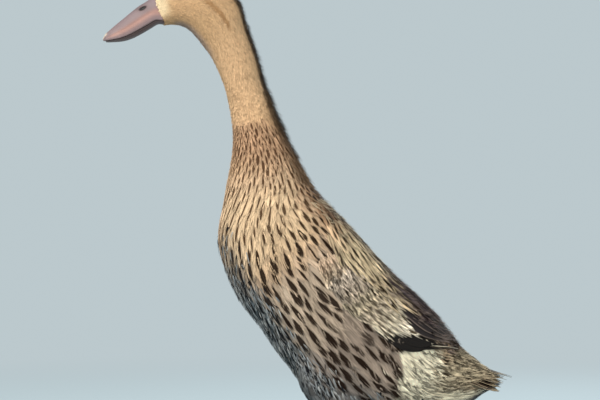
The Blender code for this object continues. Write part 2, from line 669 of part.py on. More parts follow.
def make_claws(side, word):
    """A claw at the end of each toe, its root facing the toe's end."""
    share = np.linspace(0, 1, 4)
    slim = 1 - CLAW_SLIM * share**1.3
    for name, length, turn, radius in TOES:
        plan, wide = toe_path(side, turn, length)
        heading = (plan[-1] - plan[-2]) / np.linalg.norm(plan[-1] - plan[-2])
        thick = radius * wide[-1]
        flat = plan[-1] + heading * (GAP + CLAW * share)[:, None]
        high = thick * TOE_SINK * (1 - CLAW_DROOP * share**2) + CLAW_HUMP * share * (1 - share)
        path = np.column_stack([flat, high])
        finished(tube(f"claw_{word}_{name}", path, CLAW_ROOT * thick * slim, 8, "claw_horn", BIRD))
    root, end = np.array(hind_toe(side))
    plan = (end - root) * (1, 1, 0) / np.linalg.norm((end - root)[:2])
    path = end + plan * (GAP + HIND_CLAW * share)[:, None]
    path[:, 2] -= CLAW_DROOP * HIND_CLAW * share**1.5
    finished(tube(f"claw_{word}_hind", path, CLAW_ROOT * HIND_RADII[1] * slim, 8, "claw_horn", BIRD))


def rectrix(number, side):
    """One tail feather, counted from the middle pair outwards."""
    x, x_more, y, z, z_more = (value * MM for value in RECTRIX_ROOT)
    root = np.array([side * (x + x_more * number), y, z + z_more * number])
    x, x_more, y, y_more, z, z_more = (value * MM for value in RECTRIX_TIP)
    tip = np.array([side * (x + x_more * number), y + y_more * number, z + z_more * number])
    share = np.array(VANE_SHARES)
    shaft = root + (tip - root) * share[:, None] + (0, 0, side * LEFT_OVER_RIGHT)
    slope = math.radians(RECTRIX_ROOF[0] + RECTRIX_ROOF[1] * number)
    heading = (tip - root) / np.linalg.norm(tip - root)
    flat = np.array([side * math.cos(slope), 0, -math.sin(slope)])
    flat -= heading * heading.dot(flat)
    flat /= np.linalg.norm(flat)
    up = np.cross(flat, heading)
    up *= np.sign(up[2])
    across = np.array([-1.0, 0.0, 1.0])
    half = RECTRIX_WIDE * vane_outline(share)
    over = shaft[:, None] + flat * (half[:, None] * across)[..., None]
    return slab("rectrix", over, over - up * VANE_THICK)


def tail_core():
    """The tail's flesh, from its root to a blunt end that the tail feathers grow from."""
    rings = trunk_rings(AT["tail_root"], TAIL_CORE_END, 4, 18, -TAIL_CORE_INSET)
    middle = rings[-1].mean(0)
    ends = middle + (rings[-1] - middle) * TAIL_BLUNT + TAIL_BLUNT_SHIFT
    return loft("tail", np.concatenate([rings, ends[None]]), "plumage_mottled", BIRD)


def tail_vanes():
    """The tail's feathers: a fan sloping to both sides, and coverts over and under its root."""
    share = np.array(VANE_SHARES)
    rise = (VANE_ROOT + (TAIL_COVERT_TOP - VANE_ROOT) * share)[:, None] - TAIL_CORE_INSET
    vanes = []
    for side in (1, -1):
        vanes += [rectrix(number, side) for number in range(RECTRICES)]
        for start, low, high, number, length, wide in TAIL_COVERT_ROWS:
            for place in np.radians(np.linspace(low, high, number)):
                s = start * MM + length * MM * share
                half = wide * MM / 2 * vane_outline(share)
                vanes.append(trunk_vane(s, place + 0 * s, half, lambda s, angle: rise + 0 * s, side))
    return vanes


def make_tail():
    """The tail, its feathers fused to its core."""
    tail = tail_core()
    fuse(tail, tail_vanes())
    return finished(tail)


def main():
    make_head()
    make_bill()
    finished(loft("neck", trunk_rings(AT["neck_top"], AT["collar"] - GAP, 12, 28), "plumage_buff", BIRD))
    reach = (AT["collar"], AT["tail_root"] - GAP, TORSO_SECTIONS, TORSO_AROUND)
    finished(loft("torso", trunk_rings(*reach), "plumage_mottled", BIRD))
    make_tail()
    cutter = loft("trunk_cutter", trunk_rings(*reach, GAP))
    for side, word in ((1, "left"), (-1, "right")):
        make_eye(side, word)
        make_wing(side, word, cutter)
        make_thigh(side, word, cutter)
        make_shank(side, word)
        make_foot(side, word)
        make_claws(side, word)
    bpy.data.objects.remove(cutter)


main()
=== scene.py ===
# %% [markdown]
# # An upright laying duck, dressed over its solids
#
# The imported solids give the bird's size and stance. This lesson dresses them: one skin in place of the solid
# flesh, thousands of small feathers made as fans of barbs, larger vanes on the wings and the tail, and a bill,
# eyes and feet with finer forms. Every surface is a function of two parameters, worked out with numpy.

import math

import bpy
import numpy as np
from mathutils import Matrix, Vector


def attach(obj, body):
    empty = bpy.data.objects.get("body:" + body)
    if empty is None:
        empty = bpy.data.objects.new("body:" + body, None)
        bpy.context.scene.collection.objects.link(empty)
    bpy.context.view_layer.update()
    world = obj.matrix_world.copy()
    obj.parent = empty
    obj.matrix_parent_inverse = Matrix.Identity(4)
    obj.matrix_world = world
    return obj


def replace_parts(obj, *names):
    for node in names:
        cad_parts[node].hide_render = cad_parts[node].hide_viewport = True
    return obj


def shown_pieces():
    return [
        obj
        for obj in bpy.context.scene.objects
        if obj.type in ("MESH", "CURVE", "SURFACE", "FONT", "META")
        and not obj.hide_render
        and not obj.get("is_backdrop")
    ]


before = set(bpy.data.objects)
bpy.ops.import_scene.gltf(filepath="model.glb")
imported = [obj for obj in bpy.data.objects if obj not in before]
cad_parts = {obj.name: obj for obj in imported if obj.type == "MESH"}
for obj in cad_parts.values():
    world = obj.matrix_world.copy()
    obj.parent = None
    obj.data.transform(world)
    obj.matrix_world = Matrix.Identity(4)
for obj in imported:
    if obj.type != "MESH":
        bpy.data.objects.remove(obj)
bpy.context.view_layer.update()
MM = 0.001
SIDES = ((1, "left"), (-1, "right"))

# %% [markdown]
# ## Camera, floor and light
#
# The photograph looks at the bird's left side from level with its body, and cuts off the crown and the legs. One
# of its pixels is 1.05 mm at the bird. A long lens far away gives the same flat view. The floor is a wide pale
# disc that fades into the colour of the surroundings, so no horizon crosses the picture. Large soft lights act
# as a studio's.

# %% Camera
PIXEL = 1.05 * MM
PHOTO_WIDE, PHOTO_HIGH = 600, 400
CAMERA_FAR = 2.6
CAMERA_Y = (PHOTO_WIDE / 2 - 305.5) * PIXEL
CAMERA_Z = (484 - PHOTO_HIGH / 2) * PIXEL

lens = bpy.data.cameras.new("camera")
lens.sensor_width = 36
lens.lens = lens.sensor_width * CAMERA_FAR / (PHOTO_WIDE * PIXEL)
camera = bpy.data.objects.new("camera", lens)
camera.location = (CAMERA_FAR, CAMERA_Y, CAMERA_Z)
camera.rotation_euler = (math.pi / 2, 0, math.pi / 2)
bpy.context.scene.collection.objects.link(camera)
bpy.context.scene.camera = camera
bpy.context.scene.view_settings.view_transform = "Standard"
print("lens", round(lens.lens, 1), "mm")


# %% Colours and nodes
def linear(code):
    """The linear colour of an sRGB hex code: each channel goes through the sRGB curve the other way."""
    value = np.array([int(code[i : i + 2], 16) for i in (1, 3, 5)]) / 255
    return np.where(value <= 0.04045, value / 12.92, ((value + 0.055) / 1.055) ** 2.4)


def over(base, top, share):
    """One colour or number mixed over another by a share. The upper one may be a hex code."""
    return base * (1 - share) + (linear(top) if isinstance(top, str) else top) * share


def add(tree, kind, inputs=None, **settings):
    """Adds a node with its settings. Each input is a value, a socket to link, or a node, for its first output."""
    made = tree.nodes.new(kind)
    for key, value in settings.items():
        setattr(made, key, value)
    for key, value in (inputs or {}).items():
        socket = made.inputs[key]
        if isinstance(key, str):  # a Mix node has inputs of one name for each kind of value
            socket = next(one for one in made.inputs if one.name == key and one.enabled)
        if isinstance(value, bpy.types.Node):
            value = value.outputs[0]
        if isinstance(value, bpy.types.NodeSocket):
            tree.links.new(value, socket)
        else:
            socket.default_value = value
    return made


def new_material(name):
    """An empty material and its tree. The last node that a material adds is its output."""
    made = bpy.data.materials.new(name)
    made.use_nodes = True
    made.node_tree.nodes.clear()
    return made, made.node_tree


# %% Floor
FLOOR_COLOUR, AIR_COLOUR = "#b4bfc2", "#dcebf0"
FLOOR_REACH = 30.0
AIR_LIGHT = 0.70

bpy.ops.mesh.primitive_circle_add(vertices=96, radius=FLOOR_REACH, fill_type="NGON")
floor = bpy.context.object
floor.name = "floor"
matt, tree = new_material("matt_paint_floor")
place = add(tree, "ShaderNodeTexCoord")
away = add(tree, "ShaderNodeVectorMath", {0: place.outputs["Object"]}, operation="LENGTH")
fade = add(
    tree, "ShaderNodeMapRange", {"Value": away.outputs["Value"], "From Min": 0.8, "From Max": 2.2},
    interpolation_type="SMOOTHSTEP",
)
paint = add(tree, "ShaderNodeBsdfDiffuse", {"Color": (*linear(FLOOR_COLOUR), 1)})
glow = add(tree, "ShaderNodeEmission", {"Color": (*linear(AIR_COLOUR), 1), "Strength": AIR_LIGHT})
both = add(tree, "ShaderNodeMixShader", {0: fade, 1: paint, 2: glow})
add(tree, "ShaderNodeOutputMaterial", {"Surface": both})
floor.data.materials.append(matt)
floor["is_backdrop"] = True

# %% Light
LIGHTS = (  # name, place, size, watts, colour
    ("key", (1.6, -1.6, 1.9), 0.9, 78, "#fff8f2"),
    ("fill", (2.2, 1.2, 0.9), 1.6, 14, "#fff6ee"),
    ("back", (-1.6, 0.9, 1.6), 1.2, 22, "#f4faff"),
)
for name, spot, size, watts, hue in LIGHTS:
    lamp = bpy.data.lights.new(name, "AREA")
    lamp.shape, lamp.size, lamp.energy, lamp.color = "DISK", size, watts, linear(hue)
    holder = bpy.data.objects.new(name, lamp)
    holder.location = spot
    holder.rotation_euler = (Vector((0, 0, 0.25)) - Vector(spot)).to_track_quat("-Z", "Y").to_euler()
    bpy.context.scene.collection.objects.link(holder)
air = bpy.data.worlds.new("air")
air.use_nodes = True
sky = air.node_tree.nodes["Background"]
sky.inputs["Color"].default_value = (*linear(AIR_COLOUR), 1)
sky.inputs["Strength"].default_value = AIR_LIGHT
bpy.context.scene.world = air
print("lights", len(LIGHTS))

# %% [markdown]
# ## The trunk as a function
#
# Head, neck, torso and tail are one body. Each station is a flat section through it, given by its dorsal and
# ventral points, its half width and its roundness, with the same numbers as the solids have. A cubic through the
# stations gives a section at any distance, and a superellipse gives the point at any angle round it. Sculpting
# would be freer, but a function also tells each feather where it grows and which way it lies.

# %% The trunk
STATIONS = (  # name, dorsal y, z, ventral y, z, half width (mm), egg shape, power of the superellipse
    ("bill_root", -158.0, 515.0, -146.5, 481.5, 13.5, -0.12, 2.5),
    ("lores", -149.0, 523.0, -139.5, 482.0, 15.5, -0.14, 2.3),
    ("brow", -134.0, 530.0, -131.5, 481.0, 18.0, -0.14, 2.1),
    ("crown", -115.0, 533.0, -123.0, 477.0, 20.0, -0.12, 2.0),
    ("occiput", -96.5, 529.0, -115.0, 469.0, 20.0, -0.08, 2.0),
    ("nape", -81.0, 519.0, -108.0, 460.0, 19.0, -0.04, 2.0),
    ("neck_top", -70.2, 505.0, -101.0, 451.0, 18.0, 0.0, 2.0),
    ("neck_high", -62.5, 480.0, -93.0, 436.0, 17.0, 0.0, 2.0),
    ("neck_mid", -51.7, 449.0, -85.0, 416.0, 17.0, 0.0, 2.0),
    ("neck_low", -43.8, 420.0, -80.0, 395.0, 18.0, 0.0, 2.0),
    ("neck_base", -32.8, 393.0, -77.0, 373.0, 21.5, 0.0, 2.0),
    ("collar", -16.3, 359.0, -77.5, 347.0, 29.0, 0.0, 2.0),
    ("shoulder", 5.5, 317.0, -86.0, 300.0, 42.0, 0.02, 2.0),
    ("chest", 15.5, 301.0, -92.5, 256.0, 51.0, 0.0, 2.05),
    ("breast", 28.5, 285.5, -83.5, 221.5, 55.0, -0.02, 2.1),
    ("midbody", 43.0, 269.0, -67.0, 188.5, 57.0, -0.02, 2.1),
    ("flank", 57.5, 252.5, -50.0, 168.0, 57.5, -0.01, 2.1),
    ("belly", 71.5, 236.5, -36.0, 147.0, 57.0, 0.0, 2.1),
    ("groin", 93.0, 214.0, -17.0, 122.0, 56.0, 0.02, 2.1),
    ("hip", 116.5, 193.0, 2.0, 97.0, 54.0, 0.04, 2.1),
    ("abdomen", 137.5, 172.5, 38.0, 66.0, 49.0, 0.06, 2.05),
    ("vent", 151.5, 156.0, 85.0, 60.5, 40.0, 0.06, 2.0),
    ("tail_root", 162.5, 144.5, 132.0, 69.5, 31.0, 0.05, 2.0),
    ("tail_mid", 174.0, 134.5, 166.0, 81.0, 25.0, 0.0, 2.0),
    ("tail_end", 187.0, 125.0, 186.0, 95.0, 19.0, 0.0, 2.2),
    ("past_tail", 203.0, 115.0, 206.0, 105.0, 15.0, 0.0, 2.2),
)
ROWS = np.array([row[1:] for row in STATIONS])
ROWS[:, :5] *= MM


def circle(number):
    """That many angles, evenly round a circle from 0."""
    return np.arange(number) * 2 * math.pi / number


def unit(vectors):
    """The vectors, each at a length of one."""
    return vectors / np.linalg.norm(vectors, axis=-1, keepdims=True)


def squared(angle, power):
    """Cosine and sine as a superellipse has them: each to the power of 2 / power, with its own sign."""
    return [np.sign(value) * np.abs(value) ** (2 / power) for value in (np.cos(angle), np.sin(angle))]


def smooth(knots, rows, at):
    """The rows read at any place along the knots, by a cubic through them all with the mean slope at each."""
    step = np.diff(knots)
    slope = np.diff(rows, axis=0) / step[:, None]
    weight = (step[:-1] + step[1:])[:, None]
    inner = (slope[:-1] * step[1:, None] + slope[1:] * step[:-1, None]) / weight
    slopes = np.vstack([slope[:1], inner, slope[-1:]])
    at = np.clip(np.asarray(at, float), knots[0], knots[-1])
    i = np.clip(np.searchsorted(knots, at, side="right") - 1, 0, len(step) - 1)
    u = ((at - knots[i]) / step[i])[..., None]
    d = step[i][..., None]
    return (
        rows[i] * (1 + 2 * u) * (1 - u) ** 2
        + slopes[i] * d * u * (1 - u) ** 2
        + rows[i + 1] * u * u * (3 - 2 * u)
        + slopes[i + 1] * d * u * u * (u - 1)
    )


def lengths_along(path):
    """How far each point of a path lies from its first one, along it."""
    return np.concatenate([[0], np.cumsum(np.linalg.norm(np.diff(path, axis=0), axis=1))])


def distances(rows):
    """How far each section's middle lies from the first one's, along the body."""
    return lengths_along((rows[:, 0:2] + rows[:, 2:4]) / 2)


KNOTS = distances(ROWS)
AT = {row[0]: knot for row, knot in zip(STATIONS, KNOTS)}


def on_trunk(s, angle, height=0.0):
    """The point at distance s and an angle round the section (0 the back, pi/2 the left side), raised by height.

    The section's middle plus its half height times the cosine upwards, and its half width times the sine to the
    side, both to the power of the superellipse.
    """
    s, angle, height = np.broadcast_arrays(*(np.asarray(v, float) for v in (s, angle, height)))
    row = smooth(KNOTS, ROWS, s)
    top, low = row[..., 0:2], row[..., 2:4]
    wide, egg, power = row[..., 4], row[..., 5], row[..., 6]
    half = np.linalg.norm(top - low, axis=-1) / 2
    up = (top - low) / (2 * half)[..., None]
    cos, sin = squared(angle, power)
    x = (wide + height) * sin * (1 + egg * cos)
    yz = (top + low) / 2 + up * ((half + height) * cos)[..., None]
    return np.concatenate([x[..., None], yz], axis=-1)


def by_station(table, s):
    """A value listed by station name, read at distance s."""
    knots = np.array([AT[name] for name, _ in table])
    values = np.array([[value] for _, value in table])
    return smooth(knots, values, s)[..., 0]


def ramp(value, low, high):
    """0 below low and 1 above high, smoothly between, or the other way round if high is the lower one."""
    u = np.clip((value - low) / (high - low), 0, 1)
    return u * u * (3 - 2 * u)


print("trunk", round(KNOTS[-1], 3), "m long")

# %% [markdown]
# ## Where the folded wings swell
#
# A folded wing is a shallow dome on the body's side. The skin swells there a little less than the wing's solid
# core does, and every feather that grows in that area is raised with it. One function of place tells how much.

# %% The wing's place
WING_LOW = (
    ("shoulder", 38.0), ("chest", 52.0), ("breast", 62.0), ("midbody", 70.0), ("belly", 75.0),
    ("hip", 70.0), ("abdomen", 62.0), ("vent", 46.0), ("tail_root", 28.0),
)
WING_TOP = (
    ("shoulder", 14.0), ("chest", 9.0), ("breast", 6.0), ("midbody", 4.5), ("belly", 4.0),
    ("hip", 4.0), ("abdomen", 4.5), ("vent", 6.0), ("tail_root", 9.0),
)
WING_BULGE = (
    ("shoulder", 0.8), ("chest", 3.2), ("breast", 4.8), ("midbody", 5.4), ("belly", 5.2),
    ("hip", 4.2), ("abdomen", 3.4), ("vent", 2.6), ("tail_root", 1.6),
)
WING_FRONT, WING_BACK, WING_LAST = 266 * MM, 532 * MM, 549 * MM


def wing_angle(s, r):
    """Radians round the trunk at distance s, from the folded wing's lower edge (r 0) to its upper one (r 1)."""
    return np.radians(by_station(WING_LOW, s) * (1 - r) + by_station(WING_TOP, s) * r)


def wing_share(s, angle):
    """How far up the wing an angle lies, the other way round from wing_angle, on either side of the bird."""
    low, top = by_station(WING_LOW, s), by_station(WING_TOP, s)
    turned = np.degrees(np.abs(np.angle(np.exp(1j * angle))))
    return (low - turned) / (low - top)


def swell(s, angle):
    """How far the body stands out there for the folded wing: the core's dome, eased to nothing at its edges."""
    r = wing_share(s, angle)
    dome = by_station(WING_BULGE, s) * MM * (0.5 + 0.5 * np.sin(math.pi * np.clip(0.1 + 0.8 * r, 0, 1)))
    across = ramp(r, -0.16, 0.04) * ramp(r, 1.12, 0.98)
    along = ramp(s, WING_FRONT - 14 * MM, WING_FRONT + 14 * MM) * ramp(s, WING_BACK + 14 * MM, WING_BACK - 6 * MM)
    return dome * across * along


def on_body(s, angle, height=0.0):
    """The point on the trunk with the folded wings' swelling."""
    return on_trunk(s, angle, height + swell(s, angle))


print("wing", round(WING_BACK - WING_FRONT, 3), "m long")


# %% Meshes from arrays
def colour_points(data, colours):
    """Writes a colour a point into the mesh, as the attribute that the materials read."""
    colours = colours.reshape(-1, 3)
    rgba = np.concatenate([colours, np.ones((len(colours), 1))], axis=1).astype(np.float32)
    data.attributes.new("plumage", "FLOAT_COLOR", "POINT").data.foreach_set("color", rgba.ravel())


def map_points(data, name, spots):
    """Writes a UV map in which each corner has its point's place."""
    corner = np.zeros(len(data.loops), np.int32)
    data.loops.foreach_get("vertex_index", corner)
    spots = spots.reshape(-1, 2).astype(np.float32)
    data.uv_layers.new(name=name).data.foreach_set("uv", spots[corner].ravel())


def new_piece(name, points, faces, finish, colours=None, bake=None, more=None, facing=None):
    """One object of points (.., 3) and faces (m, 3 or 4), with a colour a point and a place on the bake map.

    more holds other values a point, three or four numbers each, and facing the direction each point is shaded in.
    """
    points, faces = np.asarray(points, np.float32).reshape(-1, 3), np.asarray(faces, np.int32)
    volume = np.einsum("ij,ij->i", points[faces[:, 0]], np.cross(points[faces[:, 1]], points[faces[:, 2]])).sum()
    if faces.shape[1] == 4:
        volume += np.einsum(
            "ij,ij->i", points[faces[:, 0]], np.cross(points[faces[:, 2]], points[faces[:, 3]])
        ).sum()
    if volume < 0:
        faces = faces[:, ::-1]
    data = bpy.data.meshes.new(name)
    data.vertices.add(len(points))
    data.vertices.foreach_set("co", points.ravel())
    data.loops.add(faces.size)
    data.loops.foreach_set("vertex_index", np.ascontiguousarray(faces).ravel())
    data.polygons.add(len(faces))
    data.polygons.foreach_set("loop_start", np.arange(len(faces), dtype=np.int32) * faces.shape[1])
    if colours is not None:
        colour_points(data, colours)
    for key, value in (more or {}).items():
        kind, field = (("FLOAT_VECTOR", "vector"), ("FLOAT_COLOR", "color"))[value.shape[-1] - 3]
        value = value.reshape(-1).astype(np.float32)
        data.attributes.new(key, kind, "POINT").data.foreach_set(field, value)
    if bake is not None:
        map_points(data, "OFBake", bake)
    data.update(calc_edges=True)
    data.validate()
    data.materials.append(finish)
    data.shade_smooth()
    if facing is not None:
        data.normals_split_custom_set_from_vertices(facing.reshape(-1, 3))
    made = bpy.data.objects.new(name, data)
    bpy.context.scene.collection.objects.link(made)
    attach(made, "root")
    return made


def tube_faces(rows, around):
    """Quads of a tube of rings, each ring's points going round once, and a strip of quads over each end."""
    i, j = np.meshgrid(np.arange(rows - 1), np.arange(around), indexing="ij")
    here, beside = i * around + j, i * around + (j + 1) % around
    faces = np.stack([here, beside, beside + around, here + around], -1).reshape(-1, 4)
    k = np.arange(around // 2 - 1)
    first = np.stack([k, k + 1, around - 2 - k, around - 1 - k], -1)
    return np.concatenate([faces, first[:, ::-1], first + (rows - 1) * around])


def tube(name, rings, finish, colours=None):
    """One closed piece of rings of points (rows, around, 3)."""
    return new_piece(name, rings, tube_faces(*rings.shape[:2]), finish, colours)


print("a tube of 3 rings of 8 points has", len(tube_faces(3, 8)), "faces")

# %% [markdown]
# ## Plumage colours
#
# This duck is buff on the head, deeper and streaked at the foot of the neck, cream with dark drops on the breast,
# pinkish with larger drops on the flanks, dark along the back and cream round the vent. Below it is greyish with
# dark streaks, painted darker and bluer there as painted shade. Each zone is a colour with soft edges along the
# body (s) and round it (angle). Zones are painted one over the other, as on a model kit, and both the skin and the
# coat read them.

# %% Zones
# Each row: colour, then where it starts, is full, stops being full and ends, along in mm and round in degrees.
# A last number slants the zone: so many mm further along for each degree past the bird's side.
GROUND = (
    ("#c29d75", -9, -1, 900, 999, -9, -1, 200, 201),
    ("#ddc59e", -9, -4, 4, 15, 44, 60, 96, 140),
    # Painted shade: the underside of the head and neck is painted greyer for the shade beneath it.
    ("#a08a7c", 6, 20, 120, 150, 134, 164, 200, 201),
    ("#d0aa82", 55, 105, 172, 200, -9, -1, 200, 201),
    ("#a67f58", 44, 52, 80, 90, 70, 75, 79, 85),
    ("#b79272", 174, 192, 215, 250, -9, -1, 200, 201, -0.15),
    ("#c0a081", 205, 250, 900, 999, -9, -1, 200, 201),
    ("#cdb08d", 232, 268, 310, 352, 42, 66, 150, 175),
    ("#8d6d50", 160, 190, 480, 520, -9, -1, 24, 52),
    ("#af9b86", 326, 368, 440, 480, 34, 52, 150, 175),
    # Painted shade: the rear flank is painted darker and greyer for the shade that falls there.
    ("#958475", 392, 446, 500, 530, 34, 52, 150, 175),
    # Painted shade: the grey below is partly the feathers' own, painted darker and bluer as the shade under the
    # body.
    ("#50575a", 255, 345, 600, 640, 114, 152, 200, 201),
    ("#605f5e", 415, 490, 600, 640, 96, 132, 200, 201),
    ("#f4e6c8", 494, 502, 548, 562, 40, 56, 124, 140, 0.7),
    ("#c0ae90", 524, 548, 640, 650, -9, -1, 90, 118),
    ("#56463a", 40, 62, 200, 250, -9, -1, 15, 32),
    ("#5c4a3e", 252, 300, 540, 560, -9, -1, 12, 38),
)
MARKS = (
    ("#9c7044", -9, -1, 900, 999, -9, -1, 200, 201),
    ("#3c2312", 135, 165, 900, 999, -9, -1, 200, 201),
    ("#3c2512", 215, 250, 900, 999, -9, -1, 200, 201),
    ("#1b0e06", 275, 330, 900, 999, -9, -1, 200, 201),
    ("#101215", 275, 318, 600, 640, 120, 142, 200, 201),
    ("#4d3d28", 496, 506, 548, 562, 40, 56, 124, 140, 0.7),
    ("#150d08", 250, 290, 640, 650, -9, -1, 30, 50),
    ("#20150e", 530, 552, 640, 650, -9, -1, 96, 120),
)
MARK_SIZE = (  # half width of the dark drop over the feather's, in the same way
    (0.10, -9, -1, 900, 999, -9, -1, 200, 201),
    (0.27, 140, 165, 900, 999, -9, -1, 200, 201),
    (0.195, 215, 262, 900, 999, -9, -1, 200, 201),
    (0.31, 290, 360, 530, 550, 24, 44, 136, 152),
    (0.41, 420, 460, 505, 520, 50, 66, 126, 142),
    (0.22, 285, 330, 600, 640, 130, 150, 200, 201),
    (0.14, 496, 506, 544, 558, 40, 56, 124, 140, 0.7),
    (0.52, 524, 552, 640, 650, -9, -1, 96, 124),
)
MARK_DEPTH = (  # how dark the drop is
    (0.06, -9, -1, 900, 999, -9, -1, 200, 201),
    (0.92, 180, 191, 900, 999, -9, -1, 200, 201, -0.15),
    (0.94, 225, 262, 900, 999, -9, -1, 200, 201),
    (0.985, 282, 320, 900, 999, -9, -1, 200, 201),
    (0.10, 408, 418, 438, 450, 79, 84, 92, 98),
    (0.5, 496, 506, 544, 558, 40, 56, 124, 140, 0.7),
)
BELLY = (  # where the grey belly's own loose barbs grow, from none to all of them
    (0.0, -9, -1, 900, 999, -9, -1, 200, 201),
    (1.0, 262, 350, 600, 640, 116, 154, 200, 201),
    (1.0, 430, 500, 600, 640, 102, 140, 200, 201),
)
FLECK = (  # how unevenly dark the barbs are along their length
    (0.03, -9, -1, 900, 999, -9, -1, 200, 201),
    (0.08, 150, 190, 900, 999, -9, -1, 200, 201),
    (0.36, 270, 330, 640, 650, 116, 138, 200, 201),
    (0.26, 490, 500, 640, 650, -9, -1, 200, 201),
)


def paint(zones, s, angle):
    """Colours or numbers at places on the body: each zone is mixed over the ones before it by its soft mask."""
    along = np.asarray(s) / MM
    round_ = np.degrees(np.abs(np.angle(np.exp(1j * np.asarray(angle)))))
    along, round_ = np.broadcast_arrays(along, round_)
    total = None
    for value, *edges in zones:
        value = linear(value) if isinstance(value, str) else np.array([value])
        place = along - (edges[8] if len(edges) > 8 else 0) * (round_ - 90)
        mask = ramp(place, edges[0], edges[1]) * ramp(place, edges[3], edges[2])
        mask = (mask * ramp(round_, edges[4], edges[5]) * ramp(round_, edges[7], edges[6]))[..., None]
        total = value + 0 * mask if total is None else over(total, value, mask)
    return total


print("zones", len(GROUND), len(MARKS), len(FLECK))

# %% [markdown]
# ## Feather keratin
#
# Feathers are keratin: matt, slightly silky along the barbs. A Principled shader with a high roughness and hardly
# any mirror shine gives that. Its colour comes from the painted zones and is broken up by noise of 0.9 mm, a
# little over a barb's width, so that no feather is one flat tone. The dark drop is worked out in the material
# from each feather's own places, so its edge stays sharp on a coarse mesh.


# %% Plumage material
def plumage_material(name, roughness, grain, strength, marked=False):
    """Painted colour times fine noise, and a bump of the same noise. grain is the noise's size in metres.

    A marked one adds each feather's drop. It covers the places whose distance from the shaft, as a share of the
    feather's half width, is under size times (the sine of pi t^1.4)^0.7, with t from the drop's start to its end,
    and has a weaker shadow round it.
    """
    made, tree = new_material(name)
    place = add(tree, "ShaderNodeTexCoord")
    colour = add(tree, "ShaderNodeAttribute", attribute_name="plumage")
    noise = add(tree, "ShaderNodeTexNoise", {"Vector": place.outputs["Object"], "Scale": 1 / grain, "Detail": 3.0})
    if marked:
        mark = add(tree, "ShaderNodeAttribute", attribute_name="mark")
        drop = add(tree, "ShaderNodeAttribute", attribute_name="drop")
        parts = add(tree, "ShaderNodeSeparateXYZ", {0: drop.outputs["Vector"]})
        side = add(tree, "ShaderNodeMath", {0: parts.outputs["X"]}, operation="ABSOLUTE")
        uneven = add(tree, "ShaderNodeMath", {0: noise, 1: 0.8, 2: -0.45}, operation="MULTIPLY_ADD")
        gap = add(tree, "ShaderNodeClamp", {"Value": parts.outputs["Y"]})
        for operation, value in (
            ("POWER", 1.4), ("MULTIPLY", 0.999 * math.pi), ("SINE", 0.0), ("POWER", 0.7), ("ADD", uneven),
            ("MULTIPLY", parts.outputs["Z"]), ("SUBTRACT", side),
        ):
            gap = add(tree, "ShaderNodeMath", {0: gap, 1: value}, operation=operation)
        shadow, mask = (add(
            tree, "ShaderNodeMapRange",
            {"Value": gap, "From Min": low, "From Max": high, "To Max": share},
            interpolation_type="SMOOTHSTEP",
        ) for low, high, share in ((-0.24, 0.0, 0.30), (-0.02, 0.03, 0.70)))
        dark = add(tree, "ShaderNodeMath", {0: mask, 1: shadow}, operation="ADD")
        amount = add(tree, "ShaderNodeMath", {0: dark, 1: mark.outputs["Alpha"]}, operation="MULTIPLY")
        both = add(tree, "ShaderNodeMix", {"Factor": amount, "A": colour, "B": mark}, data_type="RGBA")
        colour = both.outputs[2]
    shade = add(tree, "ShaderNodeMapRange", {"Value": noise, "To Min": 1 - strength, "To Max": 1 + strength})
    tint = add(tree, "ShaderNodeVectorMath", {0: colour, "Scale": shade}, operation="SCALE")
    relief = add(tree, "ShaderNodeBump", {"Height": noise, "Strength": 0.15, "Distance": 0.0003})
    shader = add(tree, "ShaderNodeBsdfPrincipled", {
        "Base Color": tint, "Roughness": roughness, "Normal": relief,
        "Specular IOR Level": 0.05,
    })
    add(tree, "ShaderNodeOutputMaterial", {"Surface": shader})
    return made


BARBS = plumage_material("feather_keratin_barbs", 0.62, 0.9 * MM, 0.16, True)
VELVET = plumage_material("feather_keratin_velvet", 0.7, 1.6 * MM, 0.08)
SKIN = plumage_material("feathered_skin_down", 0.8, 1.4 * MM, 0.35)
print("materials", BARBS.name, VELVET.name, SKIN.name)

# %% [markdown]
# ## One skin
#
# Under the coat lies one skin, from the bill's root to the end of the tail's flesh, inside the solids by the
# depth of the coat. The thighs are short columns of level ellipses, joined to it by one union, so that no seam
# runs between body and leg. It carries the coat's colours, because it shows wherever feathers part.

# %% Skin
COAT_DEPTH = (
    ("bill_root", 0.6), ("lores", 0.9), ("crown", 1.2), ("neck_top", 1.5), ("neck_mid", 1.8),
    ("neck_base", 2.2), ("shoulder", 2.8), ("breast", 3.4), ("belly", 3.6), ("vent", 3.4), ("tail_end", 2.6),
)
SKIN_END = 586 * MM
SKIN_LONG, SKIN_ROUND = 260, 132
HIP_HALF, STAGGER = 33 * MM, 5 * MM
THIGH = np.array([  # y, z, half width, half length in mm
    (16.0, 142.0, 9.0, 19.0), (23.0, 122.0, 14.0, 27.0), (30.0, 104.0, 17.5, 31.0), (36.5, 88.0, 17.0, 27.0),
    (41.5, 76.0, 13.0, 18.5), (44.5, 69.0, 10.0, 12.5), (46.0, 64.5, 8.4, 9.4),
]) * MM
THIGH_DEPTH, THIGH_LONG, THIGH_ROUND = 2.4 * MM, 26, 40


def on_thigh(side):
    """A surface for one thigh: p is the distance down from its top, q the angle round it (0 is outwards)."""
    def point(p, q, height=0.0):
        p, q, height = np.broadcast_arrays(*(np.asarray(v, float) for v in (p, q, height)))
        row = smooth(-THIGH[:, 1], THIGH, p - THIGH[0, 1])
        y, z, wide, long = (row[..., k] for k in range(4))
        x = side * (HIP_HALF + (wide + height) * np.cos(q))
        return np.stack([x, y - side * STAGGER + (long + height) * np.sin(q), z], -1)
    return point


